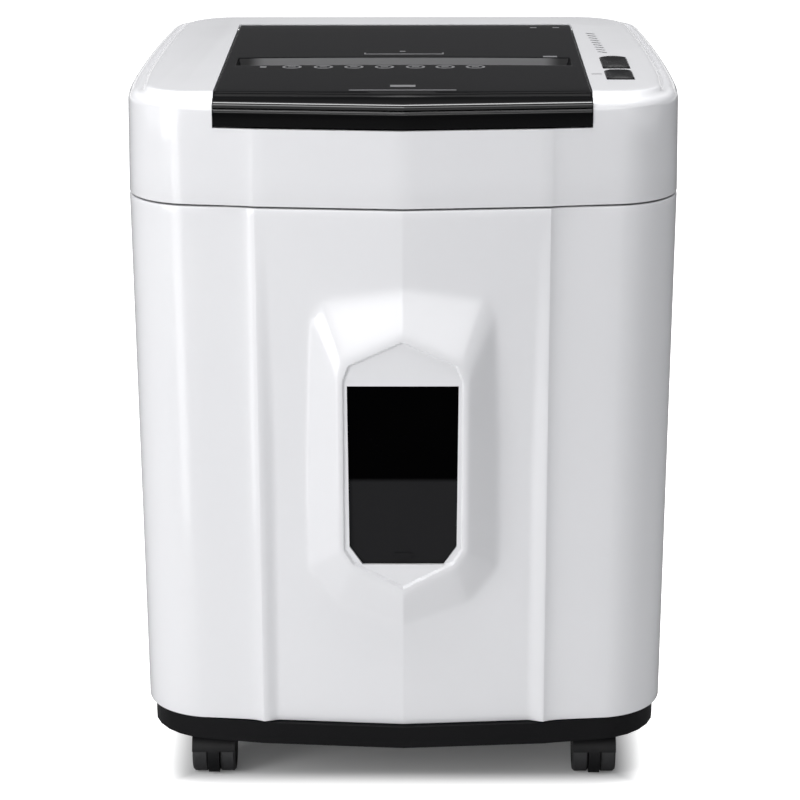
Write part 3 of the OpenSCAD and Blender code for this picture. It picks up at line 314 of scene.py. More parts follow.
def rounded(x0, x1, y0, y1, r):
    """A rectangle with round corners, each of ten steps of nine degrees."""
    corners = ((x1 - r, y0 + r, -90), (x1 - r, y1 - r, 0), (x0 + r, y1 - r, 90),
               (x0 + r, y0 + r, 180))
    return np.concatenate([arc((x, y), r, turn, turn + 99, 11) for x, y, turn in corners])


def shade(mesh, crease):
    """Smooth shading, with the edges that turn by more than crease degrees kept sharp."""
    mesh.polygons.foreach_set("use_smooth", [True] * len(mesh.polygons))
    mesh.set_sharp_from_angle(angle=math.radians(crease))


def solid(name, shape, material, crease=30):
    """An object from points and faces, with its faces turned outwards."""
    verts, faces = shape
    mesh = bpy.data.meshes.new(name)
    mesh.from_pydata([tuple(map(float, v)) for v in verts], [], [tuple(map(int, f)) for f in faces])
    if material:
        mesh.materials.append(material)
    work = bmesh.new()
    work.from_mesh(mesh)
    bmesh.ops.recalc_face_normals(work, faces=work.faces)
    work.to_mesh(mesh)
    work.free()
    shade(mesh, crease)
    made = bpy.data.objects.new(name, mesh)
    bpy.context.scene.collection.objects.link(made)
    return made


def joined(shapes):
    """Several shapes as one list of points and one of faces."""
    verts, faces, start = [], [], 0
    for v, f in shapes:
        verts.append(np.asarray(v, float))
        faces += [[i + start for i in face] for face in f]
        start += len(v)
    return np.concatenate(verts), faces


def carve(part, shapes, crease=30, soften=0.0):
    """Cuts the shapes out of a part, then rounds the new sharp edges a little."""
    for shape in shapes:
        cutter = solid("cutter", shape, None)
        cut = part.modifiers.new("cut", "BOOLEAN")
        cut.operation, cut.solver, cut.object = "DIFFERENCE", "EXACT", cutter
        bpy.context.view_layer.update()
        evaluated = part.evaluated_get(bpy.context.evaluated_depsgraph_get())
        mesh = bpy.data.meshes.new_from_object(evaluated)
        part.modifiers.clear()
        old, part.data = part.data, mesh
        bpy.data.meshes.remove(old)
        bpy.data.objects.remove(cutter)
    shade(part.data, crease)
    if soften:
        bevel = part.modifiers.new("soft_edges", "BEVEL")
        bevel.width, bevel.segments, bevel.limit_method = soften, 2, "ANGLE"
        bevel.angle_limit, bevel.harden_normals = math.radians(40), True


def fit(part, body, slot, *nodes):
    """Puts a part on its body, in place of the CAD nodes that are named. The slot is not used."""
    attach(part, body)
    if nodes:
        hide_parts(*nodes)


white_abs = finish("white_abs", gloss_white, Coat_Weight=0.55, Coat_Roughness=0.06)


def cabinet_half(z):
    """Half the width of the cabinet, which widens from its foot to the seam."""
    return FOOT_HALF + (BODY_HALF - FOOT_HALF) * (z - FOOT_Z) / (SEAM_Z - FOOT_Z)


def behind(points, y):
    """The part of a whole outline that lies behind y, as an open line from right to left."""
    n = len(points)
    first = next(i for i in range(n) if points[i, 1] > y)
    run = points[first:n - first + 1]
    x0, x1 = points[first - 1], points[first]
    start = x0 + (x1 - x0) * (y - x0[1]) / (x1[1] - x0[1])
    return np.concatenate([[start], run, [start * (-1, 1)]])


# The shell's loops, up its outside and down its inside: a height, and the millimetres inside the
# outline. Its edges are rounded by two short steps.
MIDDLE = (FOOT_Z + 120 * MM, FOOT_Z + 240 * MM)
shell_loops = []
for z, t in ((FOOT_Z, 0.6), (FOOT_Z + 0.3 * MM, 0.15), (FOOT_Z + 1 * MM, 0), (MIDDLE[0], 0),
             (MIDDLE[1], 0), (SHELL_TOP - 1.2 * MM, 0), (SHELL_TOP - 0.35 * MM, 0.2),
             (SHELL_TOP, 0.8), (SHELL_TOP, 2.4), (SHELL_TOP - 0.6 * MM, 3),
             (MIDDLE[1], 3), (MIDDLE[0], 3), (FOOT_Z + 0.6 * MM, 3), (FOOT_Z, 2.4)):
    line = behind(inset(housing_plan(cabinet_half(z), z), t * MM), shell_low.y)
    shell_loops.append(level(line, z))
cabinet = solid("cabinet", wrapped(shell_loops), white_abs)
GRIP_LOW, GRIP_HIGH, GRIP_R, GRIP_DEPTH = FOOT_Z + 235 * MM, FOOT_Z + 315 * MM, 12 * MM, 20 * MM
# One cutter makes the grips of both sides.
grip = rounded(SPLIT_Y - 30 * MM, SPLIT_Y + GRIP_DEPTH, GRIP_LOW, GRIP_HIGH, GRIP_R)
carve(cabinet, [extruded(grip, -0.3, 0.3, "yz")], soften=0.8 * MM)
fit(cabinet, "root", "white_shell", "cabinet_shell")


# ---- Bin front ----
# The drawer front of the bin, gloss white ABS with a double wall. Its middle is a shallow keel
# between two creases, sunk towards the foot, with a proud six-sided frame round the window.
front_low, front_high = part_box("bin_front")
RIM_Y, FRONT_FOOT, FRONT_TOP = front_low.y, front_low.z, front_high.z
WALL = 5 * MM
WIN_HALF, WIN_TOP = 38 * MM, FRONT_TOP - 120 * MM
WIN_FOOT = WIN_TOP - 129 * MM
# Between the creases the panel sinks by SUNK, from SUNK_FROM down over SUNK_H.
SUNK, SUNK_FROM, SUNK_H = 3.9 * MM, FRONT_TOP - 8 * MM, 172 * MM
# The frame's five facets fall from its rim to these depths behind the keel, from top to foot.
FACET_FOOT = (0.9 * MM, 0.9 * MM, WALL - 0.5 * MM, WALL - 0.5 * MM, WALL - 0.5 * MM)
# FACET_R and FRAME_R blend the facets with each other and with the panel, and the window's
# surround lies RECESS behind the rim.
FACET_R, FRAME_R, RECESS = 1.1 * MM, 1.6 * MM, 1.6 * MM


def soft_max(a, b, k):
    """The larger of a and b, blended over about k where they meet."""
    return 0.5 * (a + b + np.sqrt((a - b) ** 2 + k * k))


def smooth(value, low, high):
    """0 below low, 1 above high, and smooth between them."""
    t = np.clip((value - low) / (high - low), 0, 1)
    return t * t * (3 - 2 * t)


def frame_outline(g):
    """Right half of the frame, top to foot: g is 0 at its rim and 1 where it meets the panel."""
    w = WIN_HALF + (6.5 + 15.5 * g) * MM
    return np.array([
        (0, WIN_TOP + (35 + 38 * g) * MM), (w - 5 * MM, WIN_TOP + (17 + 18 * g) * MM),
        (w, WIN_TOP + (4 + 8 * g) * MM), (w, WIN_FOOT + (10 - 12 * g) * MM),
        (w - (8 - 2 * g) * MM, WIN_FOOT - (2 + 11 * g) * MM), (0, WIN_FOOT - (21 + 38 * g) * MM)])


def keel_y(x):
    """The flat slope from the keel's ridge back to its crease, for x from 0 up."""
    return KEEL_Y + CREASE_BACK * x / CREASE_X


def panel_y(x, z):
    """How far forward the middle of the bin front stands: keel, sunk panel and window frame."""
    growth = np.clip((SUNK_FROM - z) / SUNK_H, 0, 1)
    sunk = keel_y(x) + SUNK * growth * smooth(CREASE_X - x, 0, (8 + 4 * growth) * MM)
    outer, inner = frame_outline(1), frame_outline(0)
    proud = np.full(np.shape(x), RIM_Y)
    past_rim = np.full(np.shape(x), -1.0)
    for a, b, outer_a, outer_b, foot in zip(inner, inner[1:], outer, outer[1:], FACET_FOOT):
        along = (b - a) / np.linalg.norm(b - a)
        out = np.array([-along[1], along[0]])
        reach = ((outer_a + outer_b) / 2 - a) @ out
        distance = (x - a[0]) * out[0] + (z - a[1]) * out[1]
        past_rim = np.maximum(past_rim, distance)
        facet = RIM_Y + (KEEL_Y + foot - RIM_Y) * distance / reach
        proud = soft_max(proud, facet, FACET_R)
    proud = proud + RECESS * smooth(-past_rim, 3.2 * MM, 4.3 * MM)
    return -soft_max(-proud, -sunk, FRAME_R)


# Points stand close together at the frame. The two end loops at top and foot round the edges.
fine_x = np.concatenate([np.arange(0, 70, 1.0), np.arange(70, 99, 1.5), [99.0, 99.5]]) * MM
heights = np.concatenate([
    [FRONT_FOOT, FRONT_FOOT + 0.3 * MM, FRONT_FOOT + 1 * MM],
    np.arange(FRONT_FOOT + 6 * MM, WIN_FOOT - 66 * MM, 6 * MM),
    np.arange(WIN_FOOT - 64 * MM, WIN_TOP + 78 * MM, 1.15 * MM),
    np.arange(WIN_TOP + 82 * MM, FRONT_TOP - 3 * MM, 4 * MM),
    [FRONT_TOP - 1.2 * MM, FRONT_TOP - 0.35 * MM, FRONT_TOP]])
insets = np.array([0.7, 0.2] + [0] * (len(heights) - 4) + [0.2, 0.8]) * MM


def front_line(z, t, relief):
    """The bin front's line at a height, from the left split round the front to the right one."""
    whole = inset(housing_plan(cabinet_half(z), z), t)
    right = whole[KEEL_STEPS:len(whole) // 2]
    last = next(i for i in range(len(right)) if right[i, 1] > front_high.y)
    a, b = right[last - 1], right[last]
    stop = a + (b - a) * (front_high.y - a[1]) / (b[1] - a[1])
    y = panel_y(fine_x, z) if relief else keel_y(fine_x)
    line = np.concatenate([np.column_stack([fine_x, y + t]), right[1:last], [stop]])
    return level(np.concatenate([line[:0:-1] * (-1, 1), line]), z)


outside = [front_line(z, t, relief=True) for z, t in zip(heights, insets)]
inside = [front_line(z, WALL, relief=False) for z in (FRONT_TOP, FRONT_FOOT)]
bin_front = solid("bin_front_panel", wrapped(outside + inside), white_abs, crease=24)
# The window's opening, with its lower corners cut off.
CUT_X, CUT_Z = 10 * MM, 13 * MM
half_window = [(WIN_HALF, WIN_TOP), (WIN_HALF - MM, WIN_FOOT + CUT_Z), (WIN_HALF - CUT_X, WIN_FOOT)]
opening = half_window + [(-x, z) for x, z in half_window[::-1]]
carve(bin_front, [extruded(opening, KEEL_Y - 80 * MM, KEEL_Y + 70 * MM, "xz")], crease=24)
fit(bin_front, "bin", "white_shell", "bin_front")


# ---- Window and tub ----
# The window is a smoked acrylic pane clipped in from behind, with a small moulded tab at its foot.
# The tub behind it is thin black polypropylene with a turned-over rim.
def smoked(place):
    """Near black above a level line across the window, and a little paler below it."""
    foot = place.part("Z").rise(WIN_TOP - 66 * MM, WIN_TOP - 70 * MM)
    dark = place.noise(30.0).mix((0.0004, 0.0004, 0.0005, 1), (0.0008, 0.0008, 0.0009, 1))
    return {"Base Color": foot.mix(dark, (0.017, 0.017, 0.018, 1)),
            "Roughness": 0.08 + place.noise(20.0) * 0.04}


pane = finish("smoked_acrylic", smoked, IOR=1.06)
dress(pane, "bin_window")
dress(black_abs, "bin_tub")


# ---- Head ----
# The head is one deep white moulding: a rolled shoulder, a raised island with sloped sides, and
# openings for the lid, the two keys, the rear air slots and the mains socket.
RIM_Z, ROLL, ROLL_H = TOP_Z - 3.5 * MM, 8 * MM, 8 * MM
TOP_HALF = 187 * MM + OVERHANG
lid_low, lid_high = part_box("lid_cover")
LID_HALF, LID_FRONT, LID_REAR = lid_high.x, KEEL_Y + 22 * MM, lid_high.y
ISLAND_HALF, ISLAND_FRONT = TOP_HALF - 12 * MM, LID_FRONT + 3 * MM
ISLAND_REAR, ISLAND_R, ISLAND_FLAT = REAR_Y - 12 * MM, 32 * MM, 9 * MM
# The top dips a little along the island's foot. The island's sides are steep, less so in front.
DIP, STEEP, FRONT_STEEP = 0.9 * MM, 2.4, 1.1


def head_half(z):
    """Half the width of the head, which draws in from the seam to its roll."""
    return BODY_HALF + (TOP_HALF - BODY_HALF) * (z - SEAM_Z) / (ROLL_Z - SEAM_Z)


def drawn_in(y):
    """How far the sides of the head are drawn in at y."""
    rear_r, rear_bow = TOP_REAR
    return bow(np.clip(y, CORNER_Y, REAR_Y - rear_r), rear_bow, REAR_Y - rear_r)


def island_outline(grown):
    """A line round the island, its points matched one to one to the housing plan's."""
    x1, y0, y1 = ISLAND_HALF + grown, ISLAND_FRONT - grown, ISLAND_REAR + grown
    r0, r1 = ISLAND_R + grown, TOP_REAR[0] + grown
    y = np.linspace(y0 + r0, y1 - r1, SIDE_STEPS)
    x = x1 - drawn_in(y)
    return mirrored(np.concatenate([
        span((0, y0), (CREASE_X, y0), KEEL_STEPS),
        span((CREASE_X, y0), (x[0] - r0, y0), FLANK_STEPS),
        arc((x[0] - r0, y[0]), r0, -90, 0, CORNER_STEPS), np.stack([x, y], 1)[:-1],
        arc((x[-1] - r1, y[-1]), r1, 0, 90, REAR_STEPS),
        span((x[-1] - r1, y1), (0, y1), BACK_STEPS), [(0, y1)]]))


def past_island(p):
    """Distance of a point outside the island's top edge, less than nothing on the island."""
    r = np.where(p[:, 1] < 0, ISLAND_R, TOP_REAR[0])
    x = np.abs(p[:, 0]) + drawn_in(p[:, 1]) - ISLAND_HALF + r
    half = (ISLAND_REAR - ISLAND_FRONT) / 2
    y = np.abs(p[:, 1] - ISLAND_FRONT - half) - half + r
    return np.hypot(np.maximum(x, 0), np.maximum(y, 0)) + np.minimum(np.maximum(x, y), 0) - r


def top_z(p, t):
    """Height of the head's top at a point that lies t inside its outline."""
    roll = RIM_Z - ROLL_H * (1 - np.sqrt(np.clip(1 - (1 - t / ROLL) ** 2, 0, 1)))
    roll = np.where(t > ROLL, RIM_Z, roll)
    out = past_island(p)
    roll = roll - DIP * (1 - smooth(out, 2 * MM, 7 * MM))
    in_front = smooth(ISLAND_FRONT + ISLAND_R - p[:, 1], 0, ISLAND_R)
    steep = STEEP + (FRONT_STEEP - STEEP) * in_front
    island = TOP_Z - soft_max(out + 0.6 * MM, 0, 1.2 * MM) * steep
    return np.minimum(soft_max(roll, island, 1.2 * MM), TOP_Z)


# The head's loops: up inside from the seam to the roof, then up the outside, over the roll and
# inwards across the rim to the island's flat top.
loops = [level(inset(housing_plan(head_half(z), z), t * MM), z) for z, t in
         ((ROLL_Z + 4 * MM, 9), (ROLL_Z - 2 * MM, 3), (SEAM_Z + 0.6 * MM, 3), (SEAM_Z, 2.4),
          (SEAM_Z, 0.8), (SEAM_Z + 0.3 * MM, 0.25), (SEAM_Z + 1 * MM, 0), (SEAM_Z + 20 * MM, 0),
          (SEAM_Z + 40 * MM, 0))]
shoulder = housing_plan(TOP_HALF, ROLL_Z)
for t in ROLL * (1 - np.cos(np.radians(np.linspace(0, 90, 10)))):
    p = inset(shoulder, t)
    loops.append(np.column_stack([p, top_z(p, t)]))
for share in np.linspace(0, 1, 30)[1:]:
    p = inset(shoulder, ROLL) * (1 - share) + island_outline(-ISLAND_FLAT) * share
    loops.append(np.column_stack([p, top_z(p, ROLL + 1 * MM)]))
loops[-1][:, 2] = TOP_Z
head = solid("head_housing", rings(loops, ends=(0, len(loops) - 1)), white_abs)
head.data.validate()

# Gaps round the lid and the keys. Cuts through the head's roof run from BELOW to ABOVE.
GAP, KEY_GAP = 0.8 * MM, 0.4 * MM
NOTCH_Z = lid_low.z - GAP
ABOVE, BELOW = TOP_Z + 24 * MM, TOP_Z - 26 * MM
key_rear_low, key_rear_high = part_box("key_rear")
key_front_low, key_front_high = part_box("key_front")
KEY_ARCH, KEY_CUT = 5 * MM, 4 * MM


def key_outline(low, high, arched, d):
    """Outline of a key, grown by d: an arched far edge, or cut far corners."""
    x0, x1, y0, y1 = low.x - d, high.x + d, low.y - d, high.y + d
    if arched:
        u = np.linspace(1, -1, 17)
        far = np.column_stack([(x0 + x1) / 2 + u * (x1 - x0) / 2, y1 - KEY_ARCH * u * u])
    else:
        far = [(x1, y1 - KEY_CUT), (x1 - KEY_CUT, y1), (x0 + KEY_CUT, y1), (x0, y1 - KEY_CUT)]
    return np.concatenate([[(x0, y0), (x1, y0)], far])


def through_back(x0, x1, z0, z1):
    """A cutter for an opening in the head's rear wall."""
    return extruded(rectangle(x0, x1, z0, z1), REAR_Y - 20 * MM, REAR_Y + 20 * MM, "xz")


VENTS, VENT_W, VENT_PITCH, VENT_X = 14, 2.8 * MM, 8 * MM, -30 * MM
vents = [through_back(x, x + VENT_W, SEAM_Z + 18 * MM, SEAM_Z + 50 * MM)
         for x in VENT_X + (np.arange(VENTS) - VENTS / 2) * VENT_PITCH]
inlet_low, inlet_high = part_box("power_inlet")
lid_x = (-LID_HALF - GAP, LID_HALF + GAP)
carve(head, [
    extruded(rectangle(*lid_x, LID_FRONT - 0.5 * MM, LID_REAR + GAP), BELOW, ABOVE),
    extruded(rectangle(*lid_x, KEEL_Y - 20 * MM, ISLAND_FRONT + 4 * MM), NOTCH_Z, ABOVE),
    joined([extruded(key_outline(key_rear_low, key_rear_high, True, KEY_GAP), BELOW, ABOVE),
            extruded(key_outline(key_front_low, key_front_high, False, KEY_GAP), BELOW, ABOVE)]),
    joined(vents + [through_back(inlet_low.x, inlet_high.x, inlet_low.z, inlet_high.z)])])
fit(head, "root", "white_shell", "head_shell")


# ---- Head chassis, tray and cutting block ----
# Below the lid everything hangs in a black chassis: zinc side plates with hardened cutter
# stacks, nylon combs, idlers and first gear, oil-bronze bushes and rubber-tyred feed rollers.
def hard(place):
    streak = place.noise(260.0, 3.0, stretch=(0.15, 1.0, 1.0))
    return {"Base Color": streak.mix((0.23, 0.23, 0.24, 1), (0.42, 0.42, 0.43, 1)),
            "Roughness": 0.28 + streak * 0.2, "Normal": streak.bump(0.00004)}


def bright(place):
    streak = place.noise(420.0, 2.0, stretch=(0.08, 1.0, 1.0))
    return {"Base Color": streak.mix((0.62, 0.62, 0.63, 1), (0.76, 0.76, 0.77, 1)),
            "Roughness": 0.16 + streak * 0.16, "Normal": streak.bump(0.00002)}


def sintered(place):
    speck = place.noise(900.0, 3.0)
    return {"Base Color": speck.mix((0.42, 0.24, 0.085, 1), (0.62, 0.40, 0.16, 1)),
            "Roughness": 0.3 + speck * 0.25, "Normal": speck.bump(0.00005)}


def natural_nylon(place):
    cloud = place.noise(40.0, 3.0)
    return {"Base Color": cloud.mix((0.72, 0.68, 0.55, 1), (0.82, 0.79, 0.68, 1)),
            "Roughness": 0.34 + cloud * 0.12, "Normal": place.noise(600.0).bump(0.00003)}


def soft_rubber(place):
    dust = place.noise(120.0, 4.0)
    return {"Base Color": dust.mix((0.014, 0.014, 0.014, 1), (0.045, 0.044, 0.043, 1)),
            "Roughness": 0.62 + dust * 0.2, "Normal": place.noise(1100.0).bump(0.0001)}


def solder_mask(place):
    tracks = place.noise(190.0, 1.0, stretch=(0.2, 1.0, 1.0)).rise(0.5, 0.53)
    return {"Base Color": tracks.mix((0.01, 0.09, 0.035, 1), (0.02, 0.16, 0.06, 1)),
            "Roughness": 0.3 + tracks * 0.12, "Normal": tracks.bump(0.00005)}


def painted_can(place):
    peel = place.noise(500.0, 2.0)
    return {"Base Color": place.noise(20.0).mix((0.10, 0.105, 0.11, 1), (0.15, 0.155, 0.165, 1)),
            "Roughness": 0.35 + peel * 0.12, "Normal": peel.bump(0.00004)}


dress(black_abs, "head_chassis", "paper_tray", "lid_liner", "presser_front", "presser_rear",
      "latch_body", "cooling_fan", "power_inlet")
dress(zinc_plate, "side_plate_left", "side_plate_right", "gear_plate", "tie_bars")
dress(finish("hardened_steel", hard, Metallic=1.0), "cutter_discs_front", "cutter_discs_rear",
      "sync_gear_front", "sync_gear_rear", "drive_gear", "second_gear", "motor_shaft")
dress(finish("bright_steel", bright, Metallic=1.0), "cutter_shaft_front", "cutter_shaft_rear",
      "feed_shaft_front", "feed_shaft_rear", "lid_pins", "latch_plunger")
dress(finish("sintered_bronze", sintered, Metallic=1.0), "cutter_bushes")
dress(finish("natural_nylon", natural_nylon), "comb_front", "comb_rear", "first_gear",
      "idler_front", "idler_rear", "feed_gear_front", "feed_gear_rear")
dress(finish("feed_rubber", soft_rubber), "feed_tyres_front", "feed_tyres_rear")
dress(finish("solder_mask", solder_mask, Coat_Weight=0.3), "control_board")
dress(finish("painted_can", painted_can, Metallic=0.6), "motor")


def rocker_red(place):
    cloud = place.noise(60.0)
    return {"Base Color": cloud.mix((0.26, 0.008, 0.008, 1), (0.34, 0.012, 0.012, 1)),
            "Roughness": 0.22 + cloud * 0.1}


dress(finish("rocker_red", rocker_red, Coat_Weight=0.4), "power_rocker")


# ---- Feed lid ----
# A piano-black ABS lid hinged at its rear edge. Its flat top folds at the front into a dished
# band, a double bead and an upright lip, and a sloped trough leads sheets into the hand-feed slot.
# The slot lies at the foot of a trough. FOOT_W and FOOT_X are half sizes of the trough's floor,
# and MOUTH and MOUTH_X those of its top, whose long edges bow. The lid's sides have a skirt.
SLOT_Y, SLOT_HALF, SLOT_W = LID_FRONT + 116 * MM, 115 * MM, 6 * MM
MOUTH, MOUTH_X, TROUGH = 15 * MM, 118 * MM, 11 * MM
FOOT_W, FOOT_X = 3.75 * MM, 114 * MM
LID_T, LID_EDGE = 3 * MM, 1 * MM
EDGE_X, SKIRT_X, SKIRT = 125 * MM, 124 * MM, 3 * MM
FOLD_Y, FOLD_BOW = LID_FRONT + 3.5 * MM, 6 * MM


def piano_black(place):
    """Gloss black, paler on the trough's slopes, with the upright lip painted darker as shade, and
    a clear coat on the bead.
    """
    x, y, z = place.part("X"), place.part("Y"), place.part("Z")
    trough = (z < TOP_Z - 0.4 * MM) * (y > SLOT_Y - 36 * MM) * (x.size() < MOUTH_X + 1 * MM)
    ramp = trough * (1 - x.size().rise(MOUTH_X - 20 * MM, MOUTH_X - 6 * MM))
    cloud = place.noise(11.0, 3.0)
    lip = 1 - y.rise(LID_FRONT - 4 * MM, LID_FRONT - 3 * MM)
    top = cloud.mix((0.0045, 0.0045, 0.0048, 1), (0.0065, 0.0065, 0.007, 1))
    # The upright lip is painted darker than the top: painted shade on the front face.
    top_and_shaded_lip = lip.mix(top, (0.003, 0.003, 0.0032, 1))
    rounds = lip * (z > TOP_Z - 11.6 * MM) * (z < TOP_Z - 4.4 * MM)
    return {"Base Color": ramp.mix(top_and_shaded_lip, (0.085, 0.085, 0.087, 1)),
            "Roughness": 0.15 + place.noise(26.0, 2.0) * 0.05,
            "Coat Weight": 0.02 + lip * 0.1 + rounds * 0.88,
            "Normal": place.noise(60.0).bump(0.00001)}


def lid_z(x, y):
    """Height of the lid's top, with its trough."""
    bow = 3.5 * MM * (1 - (x / MOUTH_X) ** 2)
    rear = TROUGH * (y - SLOT_Y - FOOT_W) / (MOUTH + bow - FOOT_W)
    near = TROUGH * (SLOT_Y - FOOT_W - y) / (MOUTH - bow - FOOT_W)
    ends = TROUGH * (abs(x) - FOOT_X) / (MOUTH_X - FOOT_X)
    slopes = soft_max(soft_max(rear, near, 0.5 * MM), ends, 0.5 * MM)
    wall = TOP_Z - TROUGH + soft_max(slopes, 0, 0.3 * MM)
    return np.minimum(-soft_max(-wall, -TOP_Z, 0.5 * MM), TOP_Z)


def nose(fold, lip):
    """The lid's front from its fold down to the lip and back underneath, as points (y, z)."""
    valley = lip + 3.6 * MM
    points = [(fold + 0.25 * MM, -0.05), (fold - 0.3 * MM, -0.4), (fold - 0.8 * MM, -1.2),
              (fold - 2 * MM, -2.4), (0.6 * fold + 0.4 * valley, -3.5),
              (0.3 * fold + 0.7 * valley, -4.1), (valley, -4.35)]
    for r, out, drop, start, end, count in ((2.5, 0.2, -6.9, 78, -68, 14),
                                            (1.1, 0.3, -10.4, 55, -50, 8)):
        for a in np.radians(np.linspace(start, end, count)):
            points.append((lip + (out + r * (1 - math.cos(a))) * MM, drop + r * math.sin(a)))
    points += [(lip + back * MM, drop) for back, drop in
               ((0.6, -12), (0.6, -20.2), (0.8, -20.9), (1.3, -21.3), (2.4, -21.5), (3.4, -21.2),
                (3.4, -9.5))]
    return [(y, TOP_Z + drop * MM) for y, drop in points + [(FOLD_Y + 2 * MM, -8.5)]]


HINGE_Y, HINGE_Z, HINGE_R = LID_REAR - 4 * MM, TOP_Z - 4 * MM, 4 * MM
barrel = [(HINGE_Y + HINGE_R * math.cos(a), HINGE_Z + HINGE_R * math.sin(a))
          for a in np.radians(np.arange(-100, 91, 15))]
top_y = np.concatenate([
    np.linspace(HINGE_Y - 1 * MM, SLOT_Y + 26 * MM, 8), np.arange(25, -19, -0.8) * MM + SLOT_Y,
    np.linspace(SLOT_Y - 24 * MM, FOLD_Y + 1 * MM, 7)])
side_x = np.concatenate([
    [0], np.arange(3, 99, 3), [99.5], np.arange(102, 111, 2), np.arange(112, 120, 0.7),
    [121, 123, 124, 124.01, 125, 125.4, 125.7, 125.9, 126]]) * MM
lid_loops = []
for x in np.concatenate([-side_x[:0:-1], side_x]):
    fold = FOLD_Y - FOLD_BOW * (1 - abs(x) / LID_HALF)
    lip = keel_y(min(abs(x), LID_HALF)) + 1 * MM
    top = lid_z(x, top_y)
    under = np.minimum(TOP_Z, top) - LID_T - (SKIRT if abs(x) > SKIRT_X else 0)
    profile = barrel + list(zip(top_y, top)) + nose(fold, lip) + list(zip(top_y, under))[::-1]
    past = max(0.0, abs(x) - EDGE_X)
    drop = LID_EDGE - math.sqrt(max(0, LID_EDGE ** 2 - past ** 2))
    lid_loops.append(np.array([(x, y, z - (drop if z > TOP_Z - 2 * MM else 0))
                               for y, z in profile]))
gloss_black = finish("piano_black", piano_black, IOR=1.08, Coat_Roughness=0.1, Coat_IOR=1.85)
lid = solid("feed_lid", rings(lid_loops, ends=(0, len(lid_loops) - 1)), gloss_black, crease=32)
slot = rectangle(-SLOT_HALF, SLOT_HALF, SLOT_Y - SLOT_W / 2, SLOT_Y + SLOT_W / 2)
carve(lid, [extruded(slot, BELOW, ABOVE)], crease=32)
fit(lid, "lid", "lid_gloss", "lid_cover")


# ---- Marks on the lid and the control strip ----
# Plain screen-printed signs: a row of rings along the slot, two corner brackets, a light bar
# and small dashes. They are films of ink that stand a few hundredths of a millimetre proud.
def ink(colour, name):
    """A dull printed finish of one colour, paler in patches."""
    def surface(place):
        patch = place.noise(300.0, 2.0)
        pale = tuple(min(1.0, c * 1.25) for c in colour) + (1,)
        return {"Base Color": patch.mix(colour + (1,), pale), "Roughness": 0.42 + patch * 0.1}
    return finish(name, surface)


INK_Z, FILM = TOP_Z + 0.06 * MM, 0.2 * MM


def ribbon(points, width, closed=False):
    """A flat line of ink along points. Points and width are in millimetres."""
    points = np.array(points, float) * MM
    step = np.roll(points, -1, 0) - np.roll(points, 1, 0)
    if not closed:
        step[0], step[-1] = points[1] - points[0], points[-1] - points[-2]
    side = np.stack([-step[:, 1], step[:, 0]], 1) / np.linalg.norm(step, axis=1)[:, None]
    side *= width * MM / 2
    loops = [level(points + side, INK_Z), level(points - side, INK_Z),
             level(points - side, INK_Z - FILM), level(points + side, INK_Z - FILM)]
    if closed:
        loops = [np.vstack([loop, loop[:1]]) for loop in loops]
    return wrapped(loops, capped=False)


RING_Y, BRACKET_Y = -55, -3.2
turn = np.radians(np.arange(0, 360, 20))
marks = []
for x in (-78.1, -56.1, -34.7, -13.3, 8.4, 29.1, 50.4):
    ring = np.stack([x + 6 * np.cos(turn), RING_Y + 5.4 * np.sin(turn)], 1)
    marks += [ribbon(ring, 1.7, closed=True), ribbon([(x - 2.6, RING_Y), (x + 2.6, RING_Y)], 2.6)]
marks.append(ribbon([(-100.5, RING_Y), (-96, RING_Y)], 5))
for sign in (-1, 1):
    marks += [ribbon([(sign * 28, 2), (sign * 28, -2.5)], 1.2),
              ribbon([(sign * 28.6, BRACKET_Y), (0, BRACKET_Y)], 2.2),
              ribbon([(106 + sign * 11, 112), (106 + sign * 6, 112)], 3)]
marks += [ribbon([(-3, 8), (1, 8)], 3), ribbon([(-8.5, -127), (8.5, -127)], 7),
          ribbon([(-36, -142), (36, -142)], 2.2), ribbon([(99.5, -14), (109.4, -14)], 5)]
fit(solid("lid_marks", joined(marks), ink((0.15, 0.15, 0.155), "silver_ink")), "lid", "lid_gloss")

marks = [ribbon([(130, -83), (137, -83)], 1.6)]
for k in range(9):
    y = 86 - 10 * k
    marks.append(ribbon([(136 + k * 0.5, y), (142 + k * 0.5, y - 4)], 2.2))
fit(solid("strip_marks", joined(marks), ink((0.06, 0.06, 0.065), "grey_ink")), "root",
    "black_moulding")


# ---- Keys ----
# Two push keys of black ABS, domed at the rim and dished in the middle, standing a little
# proud of the control strip in close-fitting openings.
def key_black(place):
    haze = place.noise(120.0, 2.0)
    return {"Base Color": haze.mix((0.004, 0.004, 0.0045, 1), (0.008, 0.008, 0.009, 1)),
            "Roughness": 0.22 + haze * 0.1, "Normal": haze.bump(0.00003)}


key_gloss = finish("key_black", key_black, IOR=1.15, Coat_Weight=0.1)
for node, low, high, arched in (("key_rear", key_rear_low, key_rear_high, True),
                                ("key_front", key_front_low, key_front_high, False)):
    line = key_outline(low, high, arched, 0)
    centre = np.array([(low.x + high.x) / 2, (low.y + high.y) / 2])
    line = np.concatenate([span(a, b, 6 if np.linalg.norm(b - a) > 5 * MM else 2)
                           for a, b in zip(line, np.roll(line, -1, 0))])
    # Each loop has a share of the key's outline and a height above its rim, in millimetres.
    loops = [level(centre + (line - centre) * share, high.z + z * MM) for share, z in
             ((1, -9), (1, -0.9), (0.985, -0.35), (0.95, -0.05), (0.9, 0), (0.8, -0.15),
              (0.6, -0.5), (0.35, -0.75), (0.12, -0.85))]
    fit(solid(node + "_cap", rings(loops, ends=(0, len(loops) - 1)), key_gloss, crease=50),
        node, "black_moulding", node)


